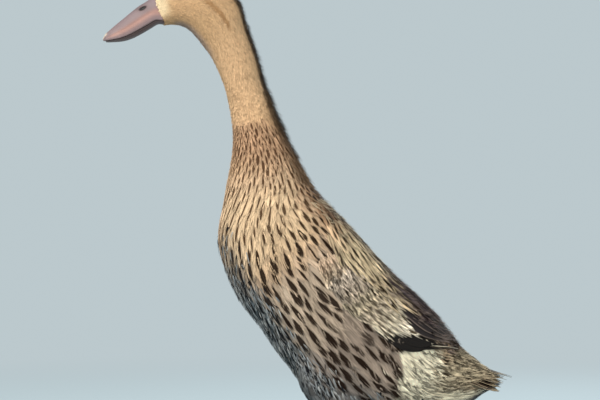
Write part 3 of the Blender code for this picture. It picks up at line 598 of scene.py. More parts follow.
def on_coat(s, angle, height=0.0):
    """The body's surface, laid over the outer side of each thigh where that stands out further.

    The thigh's side at a height and a place along is its middle plus its half width times the root of 1 - u^2,
    with u the place in its half length. The larger of the two wins, with a crease rounded over 3 mm, except
    between the legs.
    """
    points, base = on_body(s, angle, height), on_body(s, angle)
    side = np.sign(base[..., 0])
    row = smooth(-THIGH[:, 1], THIGH, -base[..., 2])
    u = (base[..., 1] - row[..., 0] + side * STAGGER) / row[..., 3]
    edge = HIP_HALF + row[..., 2] * np.sqrt(np.clip(1 - u**2, 0, 1)) + height - 0.5 * MM
    reach = ramp(np.abs(base[..., 0]), 16 * MM, 26 * MM) * (np.abs(u) < 1)
    reach = reach * ramp(base[..., 2], 60 * MM, 66 * MM) * ramp(base[..., 2], THIGH[0, 1], THIGH[0, 1] - 8 * MM)
    mean, half = (edge + np.abs(points[..., 0])) / 2, (edge - np.abs(points[..., 0])) / 2
    outer = mean + np.sqrt(half**2 + (1.5 * MM) ** 2) - 0.8 * MM
    x = np.abs(points[..., 0])
    points[..., 0] = side * (x + (np.maximum(outer, x) - x) * reach)
    return points


def skin_rings():
    """The trunk's rings at the skin's depth, then two smaller ones that round the tail's end off."""
    s = np.linspace(0.2 * MM, SKIN_END, SKIN_LONG)[:, None]
    turn = circle(SKIN_ROUND)[None]
    depth = by_station(COAT_DEPTH, s) * MM
    rings = on_body(s, turn, -depth - 1.2 * MM * (swell(s, turn) > 0.3 * MM))
    middle = rings[-1].mean(0)
    ends = [middle + (rings[-1] - middle) * share + (0, back * MM, -0.4 * back * MM)
            for share, back in ((0.8, 2.5), (0.45, 4.0))]
    return np.concatenate([rings, ends])


def union(base, piece):
    """Joins a closed piece to a closed base by one Boolean, and removes the piece."""
    joint = base.modifiers.new("join", "BOOLEAN")
    joint.operation, joint.object, joint.solver = "UNION", piece, "MANIFOLD"
    graph = bpy.context.evaluated_depsgraph_get()
    made = bpy.data.meshes.new_from_object(base.evaluated_get(graph))
    base.modifiers.clear()
    base.data = made
    bpy.data.objects.remove(piece)


skin = tube("skin", skin_rings(), SKIN)
for side in (1, -1):
    p = np.linspace(0, THIGH[0, 1] - THIGH[-1, 1] - 0.5 * MM, THIGH_LONG)[:, None]
    union(skin, tube("thigh", on_thigh(side)(p, circle(THIGH_ROUND)[None], -THIGH_DEPTH), SKIN))
skin.data.shade_smooth()


def nearest_place(points):
    """The distance along and the angle round the trunk nearest to each point, and how far outside it lies."""
    s = np.linspace(0, KNOTS[-2], 240)[:, None]
    turn = np.radians(np.arange(-180, 180, 4))[None]
    grid = on_body(s, turn).reshape(-1, 3)
    outwards = (on_body(s, turn, MM) - on_body(s, turn)).reshape(-1, 3)
    s, turn = (np.broadcast_to(v, (240, 90)).ravel() for v in (s, turn))
    parts = np.array_split(points, len(points) // 400 + 1)  # a few hundred at a time, to spare memory
    best = np.concatenate([((part[:, None] - grid[None]) ** 2).sum(-1).argmin(1) for part in parts])
    outside = ((points - grid[best]) * outwards[best]).sum(-1) / np.linalg.norm(outwards[best], axis=-1)
    return s[best], turn[best], outside


def paint_skin():
    """Gives the skin the colours of the zones, darkened by painted shade for the depth of the coat."""
    co = np.zeros(len(skin.data.vertices) * 3, np.float32)
    skin.data.vertices.foreach_get("co", co)
    s, turn, _ = nearest_place(co.reshape(-1, 3).astype(float))
    # Painted shade: the skin is darker where the coat over it is deeper, as in the gaps between feathers.
    coat_shade = 0.35 * ramp(s, 120 * MM, 200 * MM)[:, None]
    tone = paint(GROUND, s, turn) * (0.9 - coat_shade) + paint(MARKS, s, turn) * 0.4 * coat_shade
    colour_points(skin.data, tone)


paint_skin()
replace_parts(skin, "head", "neck", "torso", "thigh_left", "thigh_right")
print("skin", len(skin.data.vertices), "points")

# %% [markdown]
# ## A feather as a fan of barbs
#
# A small body feather has a short shaft and soft barbs that part at the tip. Each one here is a fan of thin
# barbs, and each barb is a three-sided prism that tapers to a point: a solid, so it keeps its thickness in the
# mesh. A flat card with a picture of a feather would be cheaper, but shows nothing in the mesh itself.
# The fan is worked out lying flat, x across, y along and h up, and then laid on the body's surface.

# %% Fans
TINT_FEATHER, TINT_BARB = 0.10, 0.09
FULL_TILTS, DOWNY_TILTS = (0.30, 0.22), (0.08, 0.05)
BARB_ROWS = (0.0, 0.3, 0.5, 0.7, 0.85, 1.0)  # where a barb's rings stand along it


def each(value, count):
    """One value for each feather, as an array that spreads over its barbs and their points."""
    return np.broadcast_to(np.asarray(value, float), count)[:, None, None]


def fan(rng, length, half, strands, rows, lift, camber, ragged=0.10, roundness=0.30, thick=1.5, ridge=0.35,
        uneven=0.16):
    """Feathers of the given lengths and half widths, as strands lying flat.

    Strand k has the place v from -1 to 1 across. Along it (u from 0 to 1) it moves out to v times the half width
    as a sine does, and ends at 1 - roundness v^2 of the length, more or less by ragged. Its height goes from
    lift[0] to lift[1], less camber times v^2. Returns x, y, h, u, v, each (feathers, strands, points a strand),
    and the same places as shares of the half width and of the length.
    """
    count, turns = len(length), len(rows) - 1
    length, half, low, high = (each(value, count) for value in (length, half, *lift))
    v = np.linspace(-1, 1, strands)[None, :, None] + rng.normal(0, 0.25 / strands, (count, strands, 1))
    u = np.broadcast_to(np.asarray(rows)[None, None], (count, strands, turns + 1))
    end = 1 - roundness * v**2 + rng.normal(0, ragged, (count, strands, 1))
    spread = 0.3 + 0.7 * np.sin(np.clip(u / 0.62, 0, 1) * math.pi / 2)
    sway = rng.normal(0, 0.05, (count, strands, 1)) * u**2
    x = half * (v * spread + sway)
    y = length * u * end
    h = low + (high - low) * u**0.75 - camber * v**2 + rng.normal(0, uneven, (count, strands, 1)) * MM * u
    wide = half / max(strands - 1, 1) * thick * np.interp(u, (0, 0.5, 0.85, 1), (0.9, 1.0, 0.7, 0.0))
    edge = np.array([-1.0, 0.0, 1.0])
    rise = np.array([-0.7, 1.0, -0.7]) * ridge

    def strip(middle, offset):
        ring = (middle[..., :turns, None] + offset).reshape(count, strands, turns * 3)
        return np.concatenate([ring, middle[..., turns:]], axis=-1)

    x = strip(x, wide[..., :turns, None] * edge)
    h = strip(h, wide[..., :turns, None] * rise)
    y = strip(y, np.zeros(3))
    u = strip(u, np.zeros(3))
    return x, y, h, u, np.broadcast_to(v, u.shape), x / half, y / length


def strand_faces(count, turns):
    """Triangles of prisms with that many three-point rings and a point at the tip, closed at the root."""
    side = []
    for ring in range(turns - 1):
        for k in range(3):
            a, b = ring * 3 + k, ring * 3 + (k + 1) % 3
            side += [(a, b, b + 3), (a, b + 3, a + 3)]
    last = (turns - 1) * 3
    side += [(last + k, last + (k + 1) % 3, last + 3) for k in range(3)]
    side.append((2, 1, 0))
    template = np.array(side)
    return (template[None] + (np.arange(count) * (turns * 3 + 1))[:, None, None]).reshape(-1, 3)


def tint(rng, shape, ground, mark, size=0.0, depth=0.0, fringe=0.0, drop=(0.36, 0.96), fleck=0.05, uneven=1.0):
    """A feather's ground colour at each point, the place in its dark drop, and the drop's colour and depth."""
    u, v, side, far = shape[3:]
    light = 1 + rng.normal(0, TINT_FEATHER * uneven, (len(u), 1, 1))
    light = light + rng.normal(0, TINT_BARB * uneven, (*u.shape[:2], 1))
    spots = rng.normal(0, 1, (*u.shape[:2], (u.shape[2] + 2) // 3)).repeat(3, axis=2)[..., : u.shape[2]]
    rim = ramp(np.maximum(np.abs(v), u), 0.6, 0.95) - 0.3
    size, depth, fringe, fleck = (each(value, len(u)) for value in (size, depth, fringe, fleck))
    light = light + spots * fleck + fringe * rim
    colour = ground[:, None, None] * np.clip(light, 0.3, 1.8)[..., None]
    start = drop[0] + rng.normal(0, 0.05, (len(u), 1, 1))
    place = np.stack([side, (far - start) / (drop[1] - start), size + 0 * side], -1)
    mark = np.concatenate([mark, depth[..., 0]], axis=1)[:, None, None] + 0 * side[..., None]
    return colour, place, mark


def lay(surface, p, q, x, y, lie):
    """Takes flat feathers to a surface: their roots at p and q, turned by the angle lie from the way of p."""
    p, q, lie = (each(value, len(p)) for value in (p, q, lie))
    step = 0.02
    per_turn = np.linalg.norm(surface(p, q + step) - surface(p, q - step), axis=-1) / (2 * step)
    along = y * np.cos(lie) - x * np.sin(lie)
    across = x * np.cos(lie) + y * np.sin(lie)
    return p + along, q + across / per_turn


def facings(surface, p, q, tilt):
    """The way each point is shaded: outwards from the body, tilted sideways by tilt, so a barb looks round.

    Outwards is square to both the surface's slope along p and its slope along q.
    """
    step = 0.01
    ahead = surface(p + 0.5 * MM, q) - surface(p - 0.5 * MM, q)
    beside = surface(p, q + step) - surface(p, q - step)
    out = np.cross(ahead, beside)
    out = out * np.sign((out * (surface(p, q, MM) - surface(p, q))).sum(-1, keepdims=True))
    return unit(unit(out) + unit(beside) * tilt[..., None])


def bake_place(p, q, u, v):
    """Each feather's patch on the bake map, 0.003 across, at its root's place on the unwrapped surface."""
    spot = [0.02 + 0.95 * (value - value.min()) / max(np.ptp(value), 1e-9) for value in (q, p)]
    return np.stack([spot[0][:, None, None] + 0.0015 * (1 + np.clip(v, -1, 1)),
                     spot[1][:, None, None] + 0.003 * u], -1)


def grow(name, surface, p, q, lie, shape, tints, turns, finish=None, tilts=FULL_TILTS):
    """Lays fans on a surface and makes one piece of them. tilts shade each barb and each feather as round."""
    x, y, h, u, v, side, _ = shape
    colour, drop, mark = tints
    here, round_ = lay(surface, p, q, x, y, lie)
    points = surface(here, round_, h)
    edge = np.append(np.tile((-1.0, 0.0, 1.0), turns), 0.0)
    facing = facings(surface, here, round_, tilts[0] * edge + tilts[1] * side)
    faces = strand_faces(u.shape[0] * u.shape[1], turns)
    more = {"drop": drop, "mark": mark} if finish is None else None
    made = new_piece(name, points, faces, finish or BARBS, colour, bake_place(p, q, u, v), more, facing)
    print(name, u.shape[0], "feathers", len(faces), "triangles")
    return made


# %% [markdown]
# ## Where feathers grow
#
# Feathers stand in rows across the body, each row offset by half a feather from the last. Their size grows from
# about 3 mm on the face to 41 mm on the flank, so spacing, length and width are listed by station.

# %% Rows
FEATHER = (  # station, spacing along and across, length, half width in mm
    ("bill_root", 1.2, 1.2, 2.8, 0.7), ("brow", 1.8, 1.5, 5.0, 0.9), ("nape", 2.4, 1.9, 7.5, 1.2),
    ("neck_mid", 3.0, 2.4, 9.5, 1.6), ("neck_low", 3.8, 3.6, 12.0, 2.5), ("neck_base", 5.0, 5.6, 16.0, 3.5),
    ("collar", 6.2, 7.4, 20.0, 4.4), ("shoulder", 7.6, 10.6, 24.0, 6.0), ("chest", 8.8, 13.3, 28.0, 7.5),
    ("breast", 10.4, 14.6, 32.0, 8.2), ("midbody", 12.0, 15.4, 36.0, 8.7), ("belly", 13.6, 15.6, 41.0, 8.9),
    ("hip", 13.6, 15.8, 41.0, 8.9), ("vent", 11.0, 12.0, 32.0, 7.2), ("tail_root", 9.2, 9.0, 28.0, 5.8),
    ("tail_end", 8.4, 5.6, 26.0, 4.6),
)
COLUMNS, FIRST_LARGE = 26, 168 * MM


def feather_size(s):
    """Spacing along and across, length and half width of the feathers at distance s, in metres."""
    knots = np.array([AT[row[0]] for row in FEATHER])
    return np.moveaxis(smooth(knots, np.array([row[1:] for row in FEATHER]) * MM, s), -1, 0)


def roots(rng, start, end):
    """Root places in rows from start to end, every second row offset. Large feathers keep to the same columns."""
    large = start >= FIRST_LARGE
    places, s, odd = [], FIRST_LARGE if large else 0.2 * MM, 0
    turn = np.radians(np.arange(-180, 181))
    while s < end:
        along, across, _, _ = feather_size(s)
        if s >= start:
            ring = on_body(s, turn)
            walked = lengths_along(ring)
            number = COLUMNS if large else 2 * max(round(walked[-1] / across / 2), 3)
            at = (np.arange(number) + 0.5 * odd + rng.normal(0, 0.08, number)) / number * walked[-1]
            here = s + rng.normal(0, 0.12, number) * along
            places.append(np.column_stack([here, np.interp(at % walked[-1], walked, turn)]))
        s, odd = s + along, 1 - odd
    return np.concatenate(places)


def body_lie(s, angle):
    """The way feathers lie, as an angle from the trunk's own: downwards on the breast, and again by the legs."""
    turned = np.degrees(np.abs(angle))
    breast = 16 * ramp(s, 190 * MM, 250 * MM) * ramp(s, 345 * MM, 290 * MM) * ramp(turned, 40, 110)
    rear = 26 * ramp(s, 430 * MM, 480 * MM) * ramp(s, 565 * MM, 520 * MM) * ramp(turned, 40, 80)
    return np.sign(angle) * np.radians(breast + rear) * ramp(turned, 172, 140)


print("feather on the flank", feather_size(AT["belly"]))

# %% [markdown]
# ## The coat
#
# The coat is cut into lengths so that no piece is too heavy. Small feathers get three barbs, large ones up to
# twenty-five. Feathers are left out round the eye, and under the folded wing, where they would never be seen.

# %% Coat
EYE_Y, EYE_Z, EYE_CLEAR = -123.5 * MM, 515.5 * MM, 4.9 * MM
LAST_DOWNY = 170  # mm: up to there the small feathers are soft and close, with no drops
DOWNY, FULL = (0.3, 2.2, 0.06, 0.05), (0.44, 1.75, 0.25, 0.14)  # roundness, thick, ridge, uneven
COAT = (  # name, from, to, barbs a feather, rows along a barb, start and end of the drop, slot
    ("coat_head", 0.2, 80.0, 3, (0.0, 0.5, 1.0), (0.0, 1.0), "plumage_buff"),
    ("coat_neck", 80.0, 168.0, 5, (0.0, 0.4, 0.75, 1.0), (0.0, 1.0), "plumage_buff"),
    ("coat_collar", 168.0, 238.0, 13, (0.0, 0.3, 0.55, 0.8, 1.0), (0.0, 1.0), "plumage_mottled"),
    ("coat_breast", 238.0, 292.0, 21, BARB_ROWS, (0.18, 0.98), "plumage_mottled"),
    ("coat_side", 292.0, 360.0, 25, BARB_ROWS, (0.24, 0.98), "plumage_mottled"),
    ("coat_flank", 360.0, 470.0, 25, (0.0, 0.28, 0.48, 0.66, 0.82, 0.93, 1.0), (0.28, 0.98), "plumage_mottled"),
    ("coat_rump", 470.0, 584.0, 21, BARB_ROWS, (0.30, 1.0), "plumage_mottled"),
)


def bare(s, angle):
    """True where no body feather grows: on the eye, and under the wing's own feathers."""
    here = on_trunk(s, angle)
    eye = np.hypot(here[:, 1] - EYE_Y, here[:, 2] - EYE_Z) < EYE_CLEAR
    eye &= np.abs(angle) < math.radians(80)
    r = wing_share(s, angle)
    wing = (s > 374 * MM) & (s < 508 * MM) & (r > np.interp(s, (0.43, 0.47), (0.05, 0.16))) & (r < 0.97)
    return eye | wing


def body_coat(name, start, end, strands, rows, drop, slot, seed):
    """One length of the coat, each feather coloured as the zone under its tip."""
    rng = np.random.default_rng(seed)
    places = roots(rng, start * MM, end * MM)
    places = places[~bare(places[:, 0], places[:, 1])]
    s, angle = places.T
    _, _, length, half = feather_size(s)
    length = length * rng.normal(1, 0.06, len(s))
    depth = by_station(COAT_DEPTH, s) * MM
    plain = end <= LAST_DOWNY
    lift = (-depth - 0.5 * MM, -0.1 * depth)
    shape = fan(rng, length, half, strands, rows, lift, 0.10 * half.mean(), 0.035, *(DOWNY if plain else FULL))
    lie = body_lie(s, angle) + rng.normal(0, 0.05, len(s))
    seen = [value[:, 0, 0] for value in lay(on_body, s, angle, 0.0, 0.7 * length[:, None, None], lie)]
    size, dark, fleck = (paint(zones, *seen)[:, 0] for zones in (MARK_SIZE, MARK_DEPTH, FLECK))
    size = size * np.clip(rng.normal(1, 0.28, len(s)), 0.4, 1.7)
    dark = dark * rng.uniform(0.965, 1.0, len(s))
    patches = 1 + 0.05 * np.sin(s / (7 * MM) + 3 * np.sin(2 * angle)) * np.sin(9 * angle + s / (11 * MM))
    ground = paint(GROUND, *seen) * patches[:, None]
    fringe = np.interp(s / MM, (170, 240), (0.05, 0.26))
    tints = tint(rng, shape, ground, paint(MARKS, *seen), size, dark, fringe, drop, fleck, 0.5 if plain else 1.0)
    return grow(name, on_coat, s, angle, lie, shape, tints, len(rows) - 1, VELVET if plain else None,
                DOWNY_TILTS if plain else FULL_TILTS)


for seed, row in enumerate(COAT):
    body_coat(*row, seed=seed + 1)

# %% [markdown]
# ## Feathers of the thigh
#
# The thigh's feathers lie downwards on its column, in the flank's colours. They grow only where the column
# stands out of the body, which a search for the nearest place on the trunk tells.

# %% Thighs
THIGH_ROWS, THIGH_COLUMNS = np.arange(2.0, 74.0, 6.0) * MM, 18
THIGH_LENGTH, THIGH_HALF = 18 * MM, 5.6 * MM


def thigh_coat(side, word, seed):
    """The coat of one thigh, its colours read from the flank beside it."""
    rng = np.random.default_rng(seed)
    surface = on_thigh(side)
    p, q = np.meshgrid(THIGH_ROWS, circle(THIGH_COLUMNS), indexing="ij")
    odd = np.arange(len(THIGH_ROWS))[:, None] % 2
    p = (p + rng.normal(0, 0.8 * MM, p.shape)).ravel()
    q = (q + odd * math.pi / THIGH_COLUMNS + rng.normal(0, 0.05, q.shape)).ravel()
    s, turn, outside = nearest_place(surface(p, q))
    seen = (outside > 0.5 * MM) & ((p > 44 * MM) | (np.cos(q) < 0.45))
    p, q, s, turn = (value[seen] for value in (p, q, s, turn))
    size = np.interp(p, (0, 56 * MM, 74 * MM), (1.25, 0.8, 0.45))
    shape = fan(rng, THIGH_LENGTH * size, THIGH_HALF * size, 13, BARB_ROWS,
                (-THIGH_DEPTH - 0.5 * MM, -0.3 * MM), 0.3 * MM)
    tints = tint(rng, shape, paint(GROUND, s, turn), paint(MARKS, s, turn), rng.uniform(0.1, 0.26, len(p)),
                 0.95, 0.05, (0.4, 0.96), 0.15)
    lie = 0.5 * np.cos(q) + rng.normal(0, 0.08, len(p))
    return grow(f"coat_thigh_{word}", surface, p, q, lie, shape, tints, 5)


for side, word in SIDES:
    thigh_coat(side, word, 20 + side)

# %% [markdown]
# ## Wings
#
# A folded wing shows small coverts in front, longer ones behind, a dark patch of secondaries, the tips of the
# primaries, and the tertials and scapulars that cover the back. Coverts and scapulars are fans like the body's
# feathers. The flight feathers are vanes: thin closed sheets with a shaft down the middle, whose barbs are drawn
# by the material at their real slant.

# %% Vane material
BARB_LINES, BARB_SLANT = 70.0, 16.0
VANES, tree = new_material("feather_keratin_vanes")
seam = add(tree, "ShaderNodeUVMap", uv_map="vane")
parts = add(tree, "ShaderNodeSeparateXYZ", {0: seam})
along = add(tree, "ShaderNodeMath", {0: parts.outputs["Y"], 1: BARB_LINES}, operation="MULTIPLY")
line = parts.outputs["X"]
for operation, value in (
    ("SUBTRACT", 0.5), ("ABSOLUTE", 0.0), ("MULTIPLY", -BARB_SLANT), ("ADD", along), ("MULTIPLY", 2 * math.pi),
    ("SINE", 0.0),
):
    line = add(tree, "ShaderNodeMath", {0: line, 1: value}, operation=operation)
place = add(tree, "ShaderNodeTexCoord")
noise = add(
    tree, "ShaderNodeTexNoise", {"Vector": place.outputs["Object"], "Scale": 1 / (1.5 * MM), "Detail": 3.0}
)
grain = add(tree, "ShaderNodeMath", {0: line, 1: 0.10, 2: noise}, operation="MULTIPLY_ADD")
shade = add(tree, "ShaderNodeMapRange", {"Value": grain, "To Min": 0.68, "To Max": 1.32})
paint_ = add(tree, "ShaderNodeAttribute", attribute_name="plumage")
toned = add(tree, "ShaderNodeVectorMath", {0: paint_, "Scale": shade}, operation="SCALE")
relief = add(tree, "ShaderNodeBump", {"Height": line, "Strength": 0.3, "Distance": 0.0002})
shader = add(tree, "ShaderNodeBsdfPrincipled", {
    "Base Color": toned, "Roughness": 0.55, "Normal": relief, "Specular IOR Level": 0.2,
})
add(tree, "ShaderNodeOutputMaterial", {"Surface": shader})


# %% Vanes
VANE_ROWS, VANE_COLUMNS, VANE_THICK = 18, 11, 0.3 * MM
VANE_OUTLINE = ((0, 0.08, 0.3, 0.65, 0.88, 0.96, 1), (0.12, 0.45, 0.82, 1.0, 0.86, 0.6, 0.14))


def sheet_faces(rows, columns, count):
    """Quads of closed thin sheets: an upper grid, a lower one turned over, and the rim between them."""
    i, j = np.meshgrid(np.arange(rows - 1), np.arange(columns - 1), indexing="ij")
    a = (i * columns + j).ravel()
    upper = np.stack([a, a + columns, a + columns + 1, a + 1], 1)
    rim = np.concatenate([
        np.arange(columns - 1), (np.arange(rows - 1) + 1) * columns - 1,
        rows * columns - 1 - np.arange(columns - 1), (rows - 1 - np.arange(rows - 1)) * columns,
    ])
    below = rows * columns
    wall = np.stack([rim, np.roll(rim, -1), np.roll(rim, -1) + below, rim + below], 1)
    one = np.concatenate([upper, upper[:, ::-1] + below, wall])
    return (one[None] + (np.arange(count) * 2 * below)[:, None, None]).reshape(-1, 4)


def vane(rng, length, half, lift, camber, tilt=0.0, ragged=0.02):
    """Flight feathers lying flat: x, y, h, u, v of shape (feathers, 2 * rows, columns), upper faces first.

    Across, v from -1 to 1 times the half width and an outline. Along, u times the length, shorter at the sides.
    The height falls away to the sides by camber v^2, and a shaft stands along the middle.
    """
    count = len(length)
    length, half, low, high = (each(value, count) for value in (length, half, *lift))
    u = np.linspace(0, 1, VANE_ROWS)[None, :, None] + np.zeros((count, 1, VANE_COLUMNS))
    v = np.linspace(-1, 1, VANE_COLUMNS)[None, None] + np.zeros((count, VANE_ROWS, 1))
    fray = rng.normal(0, ragged, (count, 1, VANE_COLUMNS)) * ramp(u, 0.75, 1.0)
    x = half * v * np.interp(u, *VANE_OUTLINE)
    y = length * u * (1 - 0.07 * v**2 * u + fray)
    h = low + (high - low) * u**0.8 - camber * v**2 + tilt * v + 0.25 * MM * np.exp(-((v / 0.12) ** 2)) * (1 - u)
    under = h - VANE_THICK * (1 - 0.6 * v**4)
    two = [np.concatenate([value, value], axis=1) for value in (x, y, u, v)]
    return two[0], two[1], np.concatenate([h, under], axis=1), two[2], two[3]


def vane_tint(rng, u, v, web, edge, shaft, edge_wide=0.25):
    """A vane's colours: its web, a paler edge and a shaft."""
    rim = ramp(np.maximum(np.abs(v), 0.2 + 0.8 * u), 1 - edge_wide, 1.0)[..., None] * 0.8
    line = (ramp(np.abs(v), 0.14, 0.02) * 0.8)[..., None]
    web, edge, shaft = (np.asarray(value)[:, None, None] for value in (web, edge, shaft))
    colour = over(over(web, edge, rim), shaft, line)
    streak = 1 + 0.10 * np.sin(v * 9 + rng.uniform(0, 6, (len(u), 1, 1))) * u
    return colour * (streak * (1 + rng.normal(0, 0.08, (len(u), 1, 1))))[..., None]


def vane_piece(name, points, shape, colour, bake):
    """One piece of laid vanes, with each vane's own map for its barbs."""
    faces = sheet_faces(VANE_ROWS, VANE_COLUMNS, len(points))
    made = new_piece(name, points, faces, VANES, colour, bake)
    map_points(made.data, "vane", np.stack([0.5 + 0.5 * shape[4], shape[3]], -1))
    print(name, len(points), "vanes")
    return made


# %% Wings
# Each row: first root (mm), slant, number, lowest and highest share, length, half width, top (mm), ground, mark
COVERTS = (
    (352, -2, 3, 0.02, 0.16, 17, 3.4, 0.3, "#ad947c", "#38261a"),
    (358, -2, 5, 0.00, 0.24, 18, 3.4, 0.5, "#a8937c", "#38281c"),
    (364, -1, 7, 0.00, 0.30, 18, 3.4, 0.8, "#a8957f", "#2a1d14"),
    (370, 0, 9, 0.00, 0.36, 18, 3.4, 1.1, "#a49584", "#241a13"),
    (377, -2, 10, 0.00, 0.42, 19, 3.5, 1.3, "#a09181", "#1c130d"),
    (384, 0, 11, 0.00, 0.46, 19, 3.5, 1.4, "#9c8d7c", "#1c130d"),
    (391, 0, 11, 0.00, 0.48, 20, 3.6, 1.5, "#988977", "#1c130d"),
    (399, 0, 12, 0.00, 0.51, 21, 3.6, 1.6, "#9f917a", "#221912"),
    (407, 0, 12, 0.00, 0.52, 22, 3.7, 1.6, "#a5967e", "#2b2018"),
    (415, 0, 11, 0.00, 0.50, 24, 3.8, 1.7, "#b0a08a", "#30241a"),
    (423, 0, 9, 0.01, 0.43, 27, 4.0, 1.8, "#b9aa92", "#35281d"),
    (432, -4, 7, 0.05, 0.33, 31, 4.3, 1.8, "#c4b79f", "#3c2f23"),
    (441, 2, 4, 0.10, 0.22, 38, 5.0, 1.9, "#d6cab4", "#4a3b29"),
)
SCAPULARS = (  # first root (mm), number, lowest and highest share, length, half width, top
    (286, 6, 0.55, 0.97, 26, 3.9, 0.1), (300, 6, 0.50, 0.97, 29, 4.0, 0.5), (314, 7, 0.44, 0.97, 32, 4.1, 0.9),
    (328, 8, 0.38, 0.97, 34, 4.2, 1.3), (342, 8, 0.34, 0.97, 36, 4.3, 1.6), (356, 8, 0.36, 0.97, 38, 4.4, 1.8),
    (370, 7, 0.40, 0.97, 42, 4.8, 2.1), (385, 6, 0.43, 0.97, 44, 4.9, 2.2), (401, 6, 0.45, 0.97, 47, 5.0, 2.3),
    (418, 6, 0.48, 0.97, 50, 5.1, 2.4), (436, 5, 0.56, 0.97, 54, 5.2, 2.5),
)
SCAPULAR_GROUND, SCAPULAR_REAR, SCAPULAR_MARK = "#d3bc98", "#43393a", "#1c1009"
FLIGHT = (  # name, first root, slant, number, low, high, length, half width, top, web, edge, shaft
    ("secondaries", 443, 8, 7, -0.04, 0.17, 62, 4.4, 1.1, "#120c08", "#1a130e", "#17100b"),
    ("primaries", 466, 8, 5, 0.10, 0.36, 76, 4.4, 0.9, "#2a201a", "#5d5044", "#8a7c6a"),
    ("outermost", 462, 0, 1, 0.115, 0.115, 86, 1.5, 2.3, "#d8caae", "#e6dbc4", "#e6dbc4"),
    ("tertials", 414, 6, 6, 0.34, 0.88, 122, 7.6, 2.0, "#241d1c", "#857469", "#15100e"),
)
WING_SINK = -1.4 * MM


def on_wing(side):
    """A surface for one wing: p is the distance along the trunk, q the share of the wing from its lower edge."""
    def point(p, q, height=0.0):
        p = np.asarray(p, float)
        held = np.minimum(p, WING_LAST)
        return on_body(held, side * np.maximum(wing_angle(held, q), math.radians(1.2)), height)
    return point


def wing_rows(rng, rows):
    """Root places, lengths, half widths and tops of rows of wing feathers, and the row's number for each."""
    made = []
    for k, (start, slant, number, low, high, length, half, top) in enumerate(rows):
        share = np.linspace(0, 1, number)
        p = (start + slant * share + rng.normal(0, 0.9, number)) * MM
        q = low + (high - low) * share + (0.5 - k % 2) * 0.4 * (high - low) / number
        made.append(np.column_stack([
            p, q, length * MM * rng.normal(1, 0.04, number), np.full(number, half * MM),
            np.full(number, top * MM), np.full(number, k),
        ]))
    return np.concatenate(made).T


def column_colours(table, column, k):
    """The colour that one column of a table gives to each feather, k being the feather's row."""
    return np.array([linear(row[column]) for row in table])[k.astype(int)]


def wing_coat(side, word):
    """Coverts and scapulars of one wing, as fans."""
    rng = np.random.default_rng(40 + side)
    surface = on_wing(side)
    p, q, length, half, top, k = wing_rows(rng, [row[:8] for row in COVERTS])
    shape = fan(rng, length, half, 9, (0.0, 0.25, 0.45, 0.62, 0.8, 0.92, 1.0), (WING_SINK, top),
                0.4 * MM, 0.12, 0.34)
    spread = np.interp(p / MM, (350, 362, 402, 420), (0.1, 0.42, 0.38, 0.16))
    ground = column_colours(COVERTS, 8, k) * np.exp(rng.normal(0, spread))[:, None]
    mark = column_colours(COVERTS, 9, k)
    tints = tint(rng, shape, ground, mark, rng.uniform(0.12, 0.56, len(p)), rng.uniform(0.5, 1.0, len(p)), 0.4,
                 (0.35, 0.98), 0.5, 1.8)
    lie = -np.interp(p / MM, (340, 380, 420, 450), (0.30, 0.22, 0.10, 0.0)) + rng.normal(0, 0.10, len(p))
    coverts = grow(f"wing_{word}_coverts", surface, p, q, lie, shape, tints, 6)
    rows = [(start, 2, number, low, high, length, half, top)
            for start, number, low, high, length, half, top in SCAPULARS]
    p, q, length, half, top, _ = wing_rows(rng, rows)
    shape = fan(rng, length, half, 13, (0.0, 0.3, 0.5, 0.7, 0.85, 0.93, 1.0), (WING_SINK, top),
                0.6 * MM, roundness=0.4)
    upper = ramp(q, 0.66, 0.94)
    own = ramp(p, 300 * MM, 350 * MM)[:, None]
    ground = over(paint(GROUND, p, wing_angle(p, q)), SCAPULAR_GROUND, own)
    rear = ramp(p - 190 * MM * np.maximum(0.68 - q, 0), 374 * MM, 402 * MM)
    late = own * np.maximum(0.85 * upper, rear)[:, None]
    ground = over(ground, SCAPULAR_REAR, late) * np.exp(rng.normal(0, 0.24, (len(p), 1)))
    mark = np.tile(linear(SCAPULAR_MARK), (len(p), 1))
    size = np.interp(p / MM, (290, 340, 400), (0.26, 0.30, 0.38)) + 0.14 * upper + rng.normal(0, 0.05, len(p))
    tints = tint(rng, shape, ground, mark, size, rng.uniform(0.9, 1.0, len(p)), 0.3, (0.4, 0.98), 0.14, 1.4)
    lie = rng.normal(0, 0.10, len(p)) - 0.14 * (1 - upper)
    scapulars = grow(f"wing_{word}_scapulars", surface, p, q, lie, shape, tints, 6)
    return coverts, scapulars


def flight_feathers(side, word):
    """Secondaries, primaries and tertials of one wing, as vanes."""
    rng = np.random.default_rng(60 + side)
    surface = on_wing(side)
    p, q, length, half, top, k = wing_rows(rng, [row[1:9] for row in FLIGHT])
    length = np.minimum(length, WING_LAST - p)
    top = top - 0.25 * MM * np.arange(len(top)) / len(top)
    shape = vane(rng, length, half, (WING_SINK, top), 0.3 * MM, tilt=-0.5 * MM, ragged=0.015)
    web, edge, shaft = (column_colours(FLIGHT, column, k) for column in (9, 10, 11))
    colour = vane_tint(rng, shape[3], shape[4], web, edge, shaft)
    points = surface(*lay(surface, p, q, *shape[:2], 0.0), shape[2])
    made = vane_piece(f"wing_{word}_flight", points, shape, colour, bake_place(p, q, shape[3], shape[4]))
    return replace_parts(made, f"wing_{word}")


for side, word in SIDES:
    wing_coat(side, word)
    flight_feathers(side, word)

# %% [markdown]
# ## Tail
#
# A short fan of stiff feathers, folded to a shallow roof. Each is a vane on a straight shaft from the tail's
# root to its own tip. Long coverts lie over and under their roots, worn to wisps at the ends.

